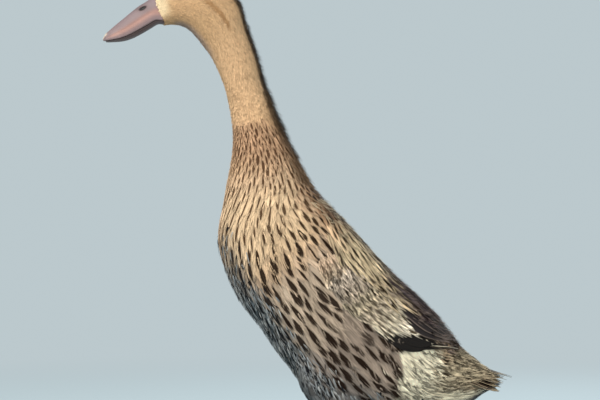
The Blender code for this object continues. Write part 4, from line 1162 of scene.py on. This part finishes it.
# %% Tail
RECTRICES = 8  # on each side
RECTRIX_ROOT = (2.2, 2.2, 160.0, 131.5, -2.5)  # x, x a feather, y, z, z a feather, in mm
RECTRIX_TIP = (3.4, 3.7, 209.0, -1.6, 115.2, -2.1)  # x, x a feather, y, y a feather, z, z a feather, in mm
RECTRIX_HALF, WISPS = 6.4 * MM, 150
RECTRIX_ROOF = (3.0, 2.3)  # slope of the middle feather, and what each next one adds, in degrees


def tail_fan():
    """All tail feathers, laid on straight shafts in space."""
    rng = np.random.default_rng(80)
    number = np.tile(np.arange(RECTRICES), 2)
    side = np.repeat([1.0, -1.0], RECTRICES)
    x, x_more, y, z, z_more = RECTRIX_ROOT
    start = np.stack([side * (x + x_more * number), y + 0 * number, z + z_more * number], 1) * MM
    x, x_more, y, y_more, z, z_more = RECTRIX_TIP
    end = np.stack([side * (x + x_more * number), y + y_more * number, z + z_more * number], 1) * MM
    end += rng.normal(0, 0.8 * MM, end.shape)
    start[:, 2] += side * 0.3 * MM
    length = np.linalg.norm(end - start, axis=1)
    heading = (end - start) / length[:, None]
    slope = np.radians(RECTRIX_ROOF[0] + RECTRIX_ROOF[1] * number)
    flat = np.stack([side * np.cos(slope), 0 * slope, -np.sin(slope)], 1)
    flat = unit(flat - heading * (heading * flat).sum(1)[:, None])
    up = np.cross(flat, heading) * side[:, None]
    up *= np.sign(up[:, 2])[:, None]
    shape = vane(rng, length, RECTRIX_HALF, (0.0, 0.0), 0.4 * MM, ragged=0.05)
    points = start[:, None, None] + sum(
        value[..., None] * axis[:, None, None] for value, axis in zip(shape[:3], (flat, heading, up))
    )
    each = (np.tile(linear(code), (len(length), 1)) for code in ("#32261d", "#b5a282", "#1d1510"))
    colour = vane_tint(rng, shape[3], shape[4], *each, edge_wide=0.17)
    bake = bake_place(end[:, 1], end[:, 0], shape[3], shape[4])
    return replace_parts(vane_piece("tail_feathers", points, shape, colour, bake), "tail")


def tail_wisps():
    """Long worn coverts over and under the tail's root."""
    rng = np.random.default_rng(81)
    count = WISPS
    s = rng.uniform(540, 578, count) * MM
    angle = rng.uniform(-math.pi, math.pi, count)
    length = rng.uniform(20, 30, count) * MM
    shape = fan(rng, length, 3.6 * MM, 7, (0.0, 0.35, 0.7, 1.0),
                (-2.5 * MM, rng.uniform(-0.5, 0.8, count) * MM), 0.2 * MM, ragged=0.16, roundness=0.5, thick=1.1)
    tints = tint(rng, shape, paint(GROUND, s, angle), paint(MARKS, s, angle), 0.4,
                 rng.uniform(0.3, 1.0, count), 0.15, (0.3, 0.97), 0.25)
    return grow("coat_tail_wisps", on_body, s, angle, rng.normal(0, 0.12, count), shape, tints, 3)


tail_fan()
tail_wisps()

# %% [markdown]
# ## Loose barbs
#
# Plumage is never quite closed: single barbs stand off it, dark ones up the back of the neck, where they tuft at
# its foot, and pale ones over the flanks and belly. They are what makes the outline look like feathers.

# %% Loose barbs
# Each row: from, to (mm), lowest and highest angle, number, length, lift at the tip, thickness, light or colour
LOOSE = {
    "neck": (
        (40, 170, 0, 24, 1300, 7.5, 2.4, 0.42, 0.7), (34, 80, 0, 16, 160, 6.5, 2.6, 0.42, 0.6),
        (74, 170, 0, 18, 620, 8.5, 5.2, 0.42, 0.5), (158, 196, 14, 36, 240, 9.5, 5.4, 0.5, 0.2),
        (170, 250, 0, 45, 520, 10.0, 3.2, 0.42, 0.5),
        (8, 175, 22, 180, 1700, 6.5, 0.5, 0.45, 0.9), (8, 175, 22, 180, 1500, 6.5, 0.5, 0.45, 1.1),
        (175, 250, 40, 180, 500, 8.0, 0.7, 0.4, 1.1),
    ),
    "body": (
        (250, 500, 0, 24, 500, 13.0, 2.6, 0.5, 0.6), (250, 500, 60, 116, 520, 13.0, 0.9, 0.34, 1.35),
        (490, 580, 0, 180, 800, 15.0, 1.6, 0.5, 1.15), (500, 580, 0, 110, 640, 15.0, 1.4, 0.7, 0.25),
        (395, 540, 0, 42, 620, 16.0, 4.2, 0.45, "#8a786e"), (395, 540, 0, 42, 420, 15.0, 4.0, 0.6, "#16100e"),
        (285, 400, 4, 40, 300, 14.0, 3.0, 0.4, "#cdbb9b"),
    ),
    # These barbs are grey partly as painted shade, like the zone under them.
    "belly": (
        (262, 545, 100, 180, 1900, 12.0, 0.9, 0.6, "#8b8f90"),
        (262, 545, 100, 180, 1000, 10.0, 0.9, 0.4, "#b4b3ae"),
        (262, 545, 100, 180, 1900, 11.0, 0.9, 0.8, "#191a1d"),
    ),
}


def loose_barbs(word, rows, seed):
    """Pairs of thin barbs rooted in the coat and lifted at the tip, in the coat's colour there or their own."""
    rng = np.random.default_rng(seed)
    made = []
    for a, b, low, high, n, length, lift, thick, light in rows:
        s = rng.uniform(a * MM, b * MM, n)
        angle = np.radians(rng.uniform(low, high, n)) * rng.choice((-1, 1), n)
        if word == "belly":
            kept = rng.random(n) < paint(BELLY, s, angle)[:, 0]
            s, angle, n = s[kept], angle[kept], kept.sum()
        hue = np.tile(linear(light), (n, 1)) if isinstance(light, str) else paint(GROUND, s, angle) * light
        made.append(np.column_stack([
            s, angle, rng.uniform(0.6, 1.3, n) * length * MM, rng.uniform(0.2, 1.3, n) * lift * MM,
            np.full(n, thick), hue * rng.normal(1, 0.15, (n, 1)),
        ]))
    s, angle, length, lift, thick, *hue = np.concatenate(made).T
    hue = np.stack(hue, 1)
    shape = fan(rng, length, 0.5 * MM, 2, (0.0, 0.55, 1.0), (-1.2 * MM, lift), 0.0, 0.2,
                thick=thick[:, None, None])
    tints = tint(rng, shape, hue, hue)
    lie = body_lie(s, angle) + rng.normal(0, 0.22, len(s))
    return grow(f"coat_loose_{word}", on_coat, s, angle, lie, shape, tints, 2, finish=VELVET)


for seed, (word, rows) in enumerate(LOOSE.items()):
    loose_barbs(word, rows, 90 + seed)

# %% [markdown]
# ## Bill
#
# A duck's bill is a broad plate of bone under a leathery skin, hardened to a nail at the tip, with soft rims and
# a long nostril near its root. The upper one is an arch carried from the head to the tip, with the nostrils
# pressed in, the nail raised and a bead along the rim. The lower one is a shallow trough under it.

# %% Bill
BILL = np.array([  # top y, z, rim y, z, half width, in mm
    (-158.3, 513.5, -148.5, 485.8, 12.4), (-166.5, 507.0, -156.5, 486.3, 12.2),
    (-174.5, 502.0, -164.5, 482.0, 11.8), (-183.5, 495.0, -175.0, 476.0, 12.0),
    (-192.5, 487.5, -184.5, 471.0, 13.0), (-201.0, 480.5, -194.0, 467.5, 13.6),
    (-208.0, 474.0, -203.5, 465.8, 11.0), (-211.3, 469.8, -209.5, 465.2, 7.0),
    (-212.6, 467.0, -212.2, 465.2, 2.4),
]) * MM
JAW_DEPTHS = np.array([3.6, 3.7, 3.9, 4.0, 3.8, 3.2, 2.2, 1.2]) * MM
NOSTRIL = (-170.5 * MM, 499.0 * MM)
NOSTRIL_SIZE, NOSTRIL_SLOPE, NOSTRIL_PRESS = (4.2 * MM, 1.7 * MM), math.atan2(1, 2), 2.2 * MM
BILL_POWER, BILL_LONG, BILL_ROUND, BILL_UNDER = 2.3, 90, 61, 11
JAW_GAP, JAW_INSET = 0.35 * MM, 0.9 * MM
JAW_LONG, JAW_ROUND, JAW_UNDER = 60, 41, 7
BILL_TONE, BILL_WARM, BILL_RIDGE, BILL_SHADE = "#7c6868", "#a37564", "#6f6063", "#463330"
# The nostril's colour is painted shade: its opening is painted near black.
BILL_NOSTRIL_SHADE, BILL_NAIL, BILL_BELOW, BILL_JAW_SHADE = "#0a0606", "#c4b3a0", "#5d4744", "#4a3836"


def bill_material():
    """Leathery skin over bone: painted colour, faint creases along the bill, a soft shine as on waxed leather."""
    made, tree = new_material("bill_leathery_horn")
    place = add(tree, "ShaderNodeTexCoord")
    paint_ = add(tree, "ShaderNodeAttribute", attribute_name="plumage")
    longer = add(tree, "ShaderNodeMapping", {"Vector": place.outputs["Object"], "Scale": (1.0, 0.35, 1.0)})
    noise = add(tree, "ShaderNodeTexNoise", {"Vector": longer, "Scale": 1 / (2.2 * MM), "Detail": 5.0})
    shade = add(tree, "ShaderNodeMapRange", {"Value": noise, "To Min": 0.84, "To Max": 1.16})
    tone = add(tree, "ShaderNodeVectorMath", {0: paint_, "Scale": shade}, operation="SCALE")
    relief = add(tree, "ShaderNodeBump", {"Height": noise, "Strength": 0.35, "Distance": 0.0003})
    gloss = add(tree, "ShaderNodeMapRange", {"Value": noise, "To Min": 0.52, "To Max": 0.72})
    shader = add(tree, "ShaderNodeBsdfPrincipled", {
        "Base Color": tone, "Roughness": gloss, "Normal": relief, "IOR": 1.54,
    })
    add(tree, "ShaderNodeOutputMaterial", {"Surface": shader})
    return made


BILL_SKIN = bill_material()


def nostril_press(y, z):
    """How deep the nostril is there, 0 to 1: an ellipse along the bill with a soft edge."""
    dy, dz = y - NOSTRIL[0], z - NOSTRIL[1]
    cos, sin = math.cos(NOSTRIL_SLOPE), math.sin(NOSTRIL_SLOPE)
    long_way, high = (dy * cos + dz * sin) / NOSTRIL_SIZE[0], (dz * cos - dy * sin) / NOSTRIL_SIZE[1]
    return ramp(np.hypot(long_way, high), 1.25, 0.7)


def upper_bill():
    """Arches of half a superellipse over a flat rim, each one closed below."""
    knots = distances(BILL)
    share = 1 - (1 - np.linspace(0, 1, BILL_LONG)) ** 1.25
    row = smooth(knots, BILL, share * knots[-1])[:, None]
    turn = np.linspace(-math.pi / 2, math.pi / 2, BILL_ROUND)[None]
    cos, sin = squared(turn, BILL_POWER)
    top, low, wide = row[..., 0:2], row[..., 2:4], row[..., 4]
    bead = 0.35 * MM * np.exp(-(((np.abs(turn) - 1.42) / 0.13) ** 2)) * ramp(share, 1.0, 0.9)[:, None]
    nail = ramp(share, 0.86, 0.9)[:, None] * ramp(np.abs(turn), 0.75, 0.55) * 0.35 * MM
    groove = -0.3 * MM * np.exp(-(((np.abs(turn) - 1.22) / 0.07) ** 2)) * ramp(share, 0.05, 0.2)[:, None]
    x = (wide + bead + groove) * sin
    yz = low + (top - low) * cos[..., None]
    pit = nostril_press(yz[..., 0], yz[..., 1]) * (np.abs(x) > 3 * MM)
    x = x * (1 - pit * NOSTRIL_PRESS / np.maximum(np.abs(x), MM))
    up = unit(top - low)
    yz = yz + up * (nail - 0.5 * pit * MM)[..., None]
    arch = np.concatenate([x[..., None], yz], -1)
    back = np.linspace(0, 1, BILL_UNDER + 2)[1:-1][None, :, None]
    under = arch[:, -1:] * (1 - back) + arch[:, :1] * back
    rings = np.concatenate([arch, under], 1)
    tone = linear(BILL_TONE) + 0 * x[..., None]
    side, far = np.abs(turn), share[:, None]
    near = np.exp(-(np.hypot((yz[..., 0] - NOSTRIL[0]) / 8, (yz[..., 1] - NOSTRIL[1]) / 4.5) / MM) ** 2)
    for code, mask in (
        (BILL_WARM, 0.7 * np.exp(-(((side - 1.25) / 0.16) ** 2)) * ramp(far, 0.97, 0.8)),
        (BILL_RIDGE, 0.55 * ramp(side, 1.0, 0.3) * ramp(far, 0.9, 0.5)),
        (BILL_SHADE, 0.55 * near),
        # Painted shade: the nostril's opening is painted near black, for the dark inside it.
        (BILL_NOSTRIL_SHADE, ramp(pit, 0.35, 0.9)),
        (BILL_NAIL, ramp(far, 0.88, 0.93) * ramp(side, 0.9, 0.6)),
    ):
        tone = over(tone, code, mask[..., None])
    tone = np.concatenate([tone, np.broadcast_to(linear(BILL_BELOW), (BILL_LONG, BILL_UNDER, 3))], 1)
    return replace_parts(tube("bill_upper_skin", rings, BILL_SKIN, tone), "bill_upper")


def lower_bill():
    """The lower jaw: troughs of half a superellipse under the rim, a little narrower."""
    knots = distances(BILL)
    share = np.linspace(0, 1, JAW_LONG)
    row = smooth(knots, BILL, share * knots[-2])[:, None]
    turn = np.linspace(-math.pi / 2, math.pi / 2, JAW_ROUND)[None]
    cos, sin = squared(turn, BILL_POWER)
    top, low, wide = row[..., 0:2], row[..., 2:4], row[..., 4]
    up = unit(top - low)
    depth = np.interp(share, np.linspace(0, 1, len(JAW_DEPTHS)), JAW_DEPTHS)[:, None]
    yz = low - up * (JAW_GAP + depth * cos)[..., None]
    arch = np.concatenate([((wide - JAW_INSET) * sin)[..., None], yz], -1)
    back = np.linspace(0, 1, JAW_UNDER + 2)[1:-1][None, :, None]
    rings = np.concatenate([arch, arch[:, -1:] * (1 - back) + arch[:, :1] * back], 1)
    # Painted shade: the lower jaw is painted dark as the shaded side under the upper bill, a little lighter
    # towards the tip.
    tone = np.broadcast_to(linear(BILL_JAW_SHADE), (*rings.shape[:2], 3)) * (1 + 0.25 * share[:, None, None])
    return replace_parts(tube("bill_lower_skin", rings, BILL_SKIN, tone), "bill_lower")


upper_bill()
lower_bill()
print("bill", round(distances(BILL)[-1] / MM, 1), "mm long")

# %% [markdown]
# ## Where feathers meet the bill
#
# The head's first feathers reach a little way forward over the bill's root, in an uneven edge. They grow on the
# head's front edge carried straight on, and point forwards.

# %% Edge of the face
EDGE_COUNT, EDGE_ROUNDS = 110, (-2.2, -1.4, -0.6)  # feathers a round, and where each round is rooted, in mm
FORWARD = (ROWS[0, 0:4] - ROWS[1, 0:4]).reshape(2, 2).sum(0)
FORWARD = np.array([0.0, *unit(FORWARD)])


def on_face(p, q, height=0.0):
    """The first section carried forward by the distance p, drawn in by a quarter of it."""
    p = np.asarray(p, float)
    return on_trunk(0.0, q, height - 0.25 * p) + p[..., None] * FORWARD


def face_edge():
    """Three rounds of small feathers."""
    rng = np.random.default_rng(30)
    around = np.linspace(-math.pi, math.pi, EDGE_COUNT, endpoint=False)
    q = np.concatenate([around + 0.02 * k for k in range(len(EDGE_ROUNDS))])
    q = q + rng.normal(0, 0.012, len(q))
    p = np.repeat(EDGE_ROUNDS, EDGE_COUNT) * MM
    length = rng.uniform(1.8, 3.6, len(p)) * MM
    shape = fan(rng, length, 0.7 * MM, 3, (0.0, 0.5, 1.0), (-1.4 * MM, -0.2 * MM), 0.0, 0.12,
                thick=2.0, ridge=0.1, uneven=0.08)
    hue = paint(GROUND, 1 * MM + 0 * q, q)
    tints = tint(rng, shape, hue, hue)
    lie = rng.normal(0, 0.12, len(p))
    return grow("coat_face_edge", on_face, p, q, lie, shape, tints, 2, VELVET)


face_edge()

# %% [markdown]
# ## Eyes and lids
#
# The eye is a ball with a dark brown iris and a round pupil, wet and clear over both. The lids are a bare almond
# ring that lies on the head round it. Both are drawn round the eye's own axis, so the rings of colour are exact.

# %% Eyes
EYE_RADIUS, EYE_OUT = 6.2 * MM, 2.0 * MM
LID_RADIUS, LID_THICK, LID_SCALE = 4.6 * MM, 0.8 * MM, (1.16, 0.92, 0.8)
LID_HEADING = np.array([0.0, -0.86, -0.2])
EYE_LONG, EYE_ROUND, LID_LONG, LID_ROUND = 56, 48, 72, 16
IRIS, PUPIL, LID_TONE, LID_EDGE = "#5a3419", "#0c0806", "#9c7a5c", "#33241b"


def eye_frame(side):
    """The eyeball's middle, and the axes along the lids, across them and outwards."""
    s, a = np.meshgrid(np.linspace(AT["lores"], AT["occiput"], 80), np.radians(np.arange(20, 120)), indexing="ij")
    points = on_trunk(s, a)
    i = np.unravel_index(np.hypot(points[..., 1] - EYE_Y, points[..., 2] - EYE_Z).argmin(), s.shape)
    ahead = on_trunk(s[i] + 0.5 * MM, a[i]) - points[i]
    out = np.cross(on_trunk(s[i], a[i] + 0.02) - points[i], ahead)
    out = unit(out) * np.sign(out[0])
    middle = points[i] - out * (EYE_RADIUS - EYE_OUT)
    long_way = unit(LID_HEADING - out * out.dot(LID_HEADING))
    flip = np.array([side, 1, 1])
    return middle * flip, np.array([long_way, np.cross(out, long_way), out]) * flip


def eye_material(name, roughness, coat):
    """Painted colour under a clear wet film."""
    made, tree = new_material(name)
    paint_ = add(tree, "ShaderNodeAttribute", attribute_name="plumage")
    shader = add(tree, "ShaderNodeBsdfPrincipled", {
        "Base Color": paint_, "Roughness": roughness, "IOR": 1.38, "Coat Weight": coat,
        "Coat Roughness": 0.03,
    })
    add(tree, "ShaderNodeOutputMaterial", {"Surface": shader})
    return made


WET_EYE = eye_material("wet_cornea_over_iris", 0.12, 1.0)
LID_SKIN = eye_material("bare_lid_skin", 0.55, 0.0)


def round_rings(polar, turn):
    """Points of a unit ball at angles from its own axis, and round it."""
    return np.stack([np.sin(polar) * np.cos(turn), np.sin(polar) * np.sin(turn), np.cos(polar) + 0 * turn], -1)


def make_eye(side, word):
    """The ball, with a slightly domed cornea, and its rings of colour."""
    middle, axes = eye_frame(side)
    polar = np.linspace(0.02, math.pi - 0.02, EYE_LONG)[:, None]
    turn = circle(EYE_ROUND)[None]
    dome = 1 + 0.05 * ramp(polar, 0.75, 0.0)
    points = middle + (round_rings(polar, turn) * EYE_RADIUS * dome[..., None]) @ axes
    shade = np.interp(polar[:, 0], (0.0, 0.32, 0.35, 0.40, 0.68, 0.74), (0, 0, 0.35, 0.9, 1.0, 0.1))
    tone = over(linear(PUPIL), IRIS, shade[:, None])[:, None] + np.zeros((1, EYE_ROUND, 1))
    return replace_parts(tube(f"eyeball_{word}", points, WET_EYE, tone), f"eye_{word}")


def make_lids(side, word):
    """An almond ring round the eye, its section a small circle with a crease on top."""
    middle, axes = eye_frame(side)
    turn = circle(LID_LONG)[:, None]
    small = circle(LID_ROUND)[None]
    thick = LID_THICK * (1 + 0.12 * np.cos(2 * turn) - 0.12 * np.exp(-(((small - 1.2) / 0.35) ** 2)))
    reach = LID_RADIUS + thick * np.cos(small)
    point = 1 + 0.10 * np.abs(np.cos(turn)) ** 6
    flat = np.stack([
        reach * np.cos(turn) * LID_SCALE[0] * point, reach * np.sin(turn) * LID_SCALE[1],
        thick * np.sin(small) * LID_SCALE[2] + EYE_RADIUS - EYE_OUT + 0 * turn,
    ], -1)
    points = middle + flat @ axes
    dark = ramp(np.cos(small), -0.1, -0.8)[..., None] + 0 * turn[..., None]
    tone = over(linear(LID_TONE), LID_EDGE, dark)
    i, j = np.meshgrid(np.arange(LID_LONG), np.arange(LID_ROUND), indexing="ij")
    ring, after, beside = i * LID_ROUND, (i + 1) % LID_LONG * LID_ROUND, (j + 1) % LID_ROUND
    faces = np.stack([ring + j, ring + beside, after + beside, after + j], -1).reshape(-1, 4)
    return new_piece(f"lids_{word}", points, faces, LID_SKIN, tone)


for side, word in SIDES:
    make_eye(side, word)
    make_lids(side, word)

# %% [markdown]
# ## Legs, feet and claws
#
# The shanks and toes are bare: scutes like roof tiles down the front, small scales elsewhere, and a thin web
# between the toes. Scutes are raised in the shape, the small scales are cells in the material, 1.5 mm across.
# The foot's tubes, stem and webs are closed solids joined by one union, so that the mesh is one skin.

# %% Legs
SHANK = np.array([
    (18.4, 3.8, 4.6), (25.0, 3.6, 4.4), (32.0, 3.5, 4.3), (40.0, 3.7, 4.5), (47.0, 4.2, 5.1), (53.0, 5.0, 6.1),
    (57.5, 5.6, 6.8), (61.0, 5.7, 6.8), (64.2, 5.2, 6.2),
]) * MM
STEM = np.array([(8.0, 4.8, 5.0), (10.5, 5.2, 5.5), (14.5, 4.6, 5.2), (19.8, 4.0, 4.8)]) * MM
HOCK_Y, HOCK_Z, ANKLE_Y, ANKLE_Z = 45.5 * MM, 60.0 * MM, 33.0 * MM, 9.5 * MM
TOES = (("inner", 44.0, -25.0, 3.5), ("middle", 56.0, 3.0, 3.9), ("outer", 52.0, 30.0, 3.6))
TOE_SLIM, TOE_ARCH, TOE_SINK = 0.72, 3.0 * MM, 0.88
HIND_TOE, HIND_RADII = np.array([(2.5, 0.0, 8.5), (4.0, 12.5, 5.5)]) * MM, (2.4 * MM, 1.7 * MM)
CLAW, HIND_CLAW, CLAW_GAP = 7.0 * MM, 4.6 * MM, 0.25 * MM
SCUTE_STEP, SCUTE_RISE = 2.6 * MM, 0.28 * MM


def leg_skin():
    """Scaly leg skin: cells with dark seams, dull orange-brown, in wide patches a greyer brown."""
    made, tree = new_material("scaly_leg_skin")
    place = add(tree, "ShaderNodeTexCoord")
    cells = add(
        tree, "ShaderNodeTexVoronoi", {"Vector": place.outputs["Object"], "Scale": 1 / (1.5 * MM)},
        feature="DISTANCE_TO_EDGE",
    )
    seam = add(tree, "ShaderNodeMapRange", {"Value": cells, "From Max": 0.16})
    wide = add(
        tree, "ShaderNodeTexNoise", {"Vector": place.outputs["Object"], "Scale": 1 / (9 * MM), "Detail": 3.0}
    )
    hues = add(tree, "ShaderNodeMix", {"Factor": wide, "A": (*linear("#a9713d"), 1),
                                       "B": (*linear("#7f5d42"), 1)}, data_type="RGBA")
    dark = add(tree, "ShaderNodeMapRange", {"Value": seam, "To Min": 0.5, "To Max": 1.0})
    tone = add(tree, "ShaderNodeVectorMath", {0: hues.outputs[2], "Scale": dark}, operation="SCALE")
    relief = add(tree, "ShaderNodeBump", {"Height": seam, "Strength": 0.5, "Distance": 0.0002})
    shader = add(tree, "ShaderNodeBsdfPrincipled", {
        "Base Color": tone, "Roughness": 0.46, "Normal": relief, "IOR": 1.5,
    })
    add(tree, "ShaderNodeOutputMaterial", {"Surface": shader})
    return made


LEG_SKIN = leg_skin()


def scutes(along, facing):
    """Tiles a step apart: each rises to its lower edge and falls off sharply, only where facing is near 1."""
    part = (along / SCUTE_STEP) % 1.0
    return SCUTE_RISE * part * ramp(part, 1.0, 0.88) * ramp(facing, 0.2, 0.8)


def leg_middle(side, z):
    """Where the middle of the leg is at a height: on the line from the ankle to the hock."""
    y = ANKLE_Y + (HOCK_Y - ANKLE_Y) * (z - ANKLE_Z) / (HOCK_Z - ANKLE_Z)
    return side * HIP_HALF, y - side * STAGGER


def leg_column(name, side, table, rows, around, scaled=True):
    """A column of level ellipses up the leg, with scutes down its front."""
    z = np.linspace(table[0, 0], table[-1, 0], rows)[:, None]
    row = smooth(table[:, 0], table, z[:, 0])[:, None]
    turn = circle(around)[None]
    more = scutes(-z, -np.sin(turn)) if scaled else 0.0
    x0, y0 = leg_middle(side, z)
    points = np.stack([
        x0 + (row[..., 1] + more) * np.cos(turn), y0 + (row[..., 2] + more) * np.sin(turn), z + 0 * turn,
    ], -1)
    return tube(name, points, LEG_SKIN)


def bar(name, path, radii, around, finish, flat=0.0, scaled=False):
    """A round bar along a path, its rings upright, its lowest side flattened on the floor at height flat."""
    heading = unit(np.gradient(path[:, :2], axis=0))
    across = np.column_stack([heading[:, 1], -heading[:, 0], 0 * radii])
    turn = circle(around)[None]
    walked = lengths_along(path)[:, None]
    more = scutes(walked, np.sin(turn)) if scaled else 0.0
    wide = radii[:, None] + more
    points = path[:, None] + across[:, None] * (wide * np.cos(turn))[..., None]
    points[..., 2] += wide * np.sin(turn)
    points[..., 2] = np.maximum(points[..., 2], flat)
    return tube(name, points, finish)


def toe_path(side, turn, length, radius, count):
    """Middle points and radii of a toe, thicker at each joint, its root lifted off the floor."""
    share = np.linspace(0, 1, count)
    heading = np.array([side * math.sin(math.radians(turn)), -math.cos(math.radians(turn))])
    start = np.array(leg_middle(side, ANKLE_Z)) + heading * 2 * MM
    plan = start + heading * (length * MM * share)[:, None]
    radii = radius * MM * (1 - (1 - TOE_SLIM) * share) * (1 + 0.07 * np.cos(share * math.pi * 6))
    rise = radii * TOE_SINK + TOE_ARCH * np.clip(1 - 4 * share, 0, 1) ** 1.3
    return np.column_stack([plan, rise]), radii


def web(first, second, flat):
    """The skin between two toes, a thin sheet with faint folds and a hollow front edge."""
    rows, columns = 30, 22
    shares = np.linspace(0.1, 0.97, rows)[:, None]
    across = np.linspace(0, 1, columns)[None]
    back = shares * (1 - 0.16 * np.sin(math.pi * across) * shares)
    knots = np.linspace(0, 1, len(first))
    x, y = (
        over(np.interp(back, knots, first[:, k]), np.interp(back, knots, second[:, k]), across) for k in (0, 1)
    )
    lift = 0.5 * MM + 1.0 * MM * np.sin(math.pi * across) + 0.12 * MM * np.sin(across * 40 + shares * 9) + flat
    lift = np.broadcast_to(lift, x.shape)
    points = np.stack([np.stack([x, y, lift + 1.3 * MM], -1), np.stack([x, y, lift], -1)])
    return new_piece("web", points, sheet_faces(rows, columns, 1), LEG_SKIN)


def claw_radii(toe, share):
    """A claw's radius at shares of its length: a fifth less than the toe's end, drawn out to a blunt point."""
    return 0.8 * toe * (1 - 0.86 * share**1.3)


def make_leg(side, word):
    """Shank, webbed foot and four claws of one leg."""
    shank = leg_column(f"shank_{word}_skin", side, SHANK, 90, 40)
    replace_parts(shank, f"shank_{word}")
    foot = leg_column(f"foot_{word}_skin", side, STEM, 24, 36, False)
    paths, claws = {}, []
    for k, (name, length, turn, radius) in enumerate(TOES):
        path, radii = toe_path(side, turn, length, radius, 64)
        paths[name] = path
        union(foot, bar(f"toe_{name}", path, radii, 26, LEG_SKIN, k * 0.02 * MM, True))
        share = np.linspace(0, 1, 14)
        heading = unit((path[-1] - path[-2])[:2])
        flat = path[-1, :2] + heading * (CLAW_GAP + CLAW * share)[:, None]
        high = radii[-1] * TOE_SINK * (1 - 0.45 * share**2) + 3.2 * MM * share * (1 - share)
        claws.append((name, np.column_stack([flat, high]), claw_radii(radii[-1], share)))
    x, y = leg_middle(side, ANKLE_Z)
    ends = np.array([(x - side * inwards, y + back, high) for inwards, back, high in HIND_TOE])
    share = np.linspace(0, 1, 24)[:, None]
    path = ends[0] * (1 - share) + ends[1] * share
    union(foot, bar("toe_hind", path, np.linspace(*HIND_RADII, 24), 22, LEG_SKIN, 0.0, True))
    for first, second, flat in (("inner", "middle", 0.03), ("middle", "outer", 0.05)):
        union(foot, web(paths[first], paths[second], flat * MM))
    foot.data.shade_smooth()
    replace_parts(foot, f"foot_{word}")
    share = np.linspace(0, 1, 12)
    plan = unit((ends[1] - ends[0]) * (1, 1, 0))
    hind = ends[1] + plan * (CLAW_GAP + HIND_CLAW * share)[:, None]
    hind[:, 2] -= 0.45 * HIND_CLAW * share**1.5
    claws.append(("hind", hind, claw_radii(HIND_RADII[1], share)))
    for name, path, radii in claws:
        claw = bar(f"claw_{word}_{name}_horn", path, radii, 18, CLAW_HORN)
        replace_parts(claw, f"claw_{word}_{name}")


CLAW_HORN, tree = new_material("claw_horn_polished")
place = add(tree, "ShaderNodeTexCoord")
streaks = add(
    tree, "ShaderNodeTexNoise", {"Vector": place.outputs["Object"], "Scale": 1 / (1.2 * MM), "Detail": 4.0}
)
hues = add(tree, "ShaderNodeMix", {"Factor": streaks, "A": (*linear("#4a3b30"), 1),
                                   "B": (*linear("#1f1813"), 1)}, data_type="RGBA")
shader = add(tree, "ShaderNodeBsdfPrincipled", {"Base Color": hues.outputs[2], "Roughness": 0.35, "IOR": 1.54})
add(tree, "ShaderNodeOutputMaterial", {"Surface": shader})

for side, word in SIDES:
    make_leg(side, word)
print("legs done")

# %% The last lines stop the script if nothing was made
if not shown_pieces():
    raise SystemExit("nothing was made")
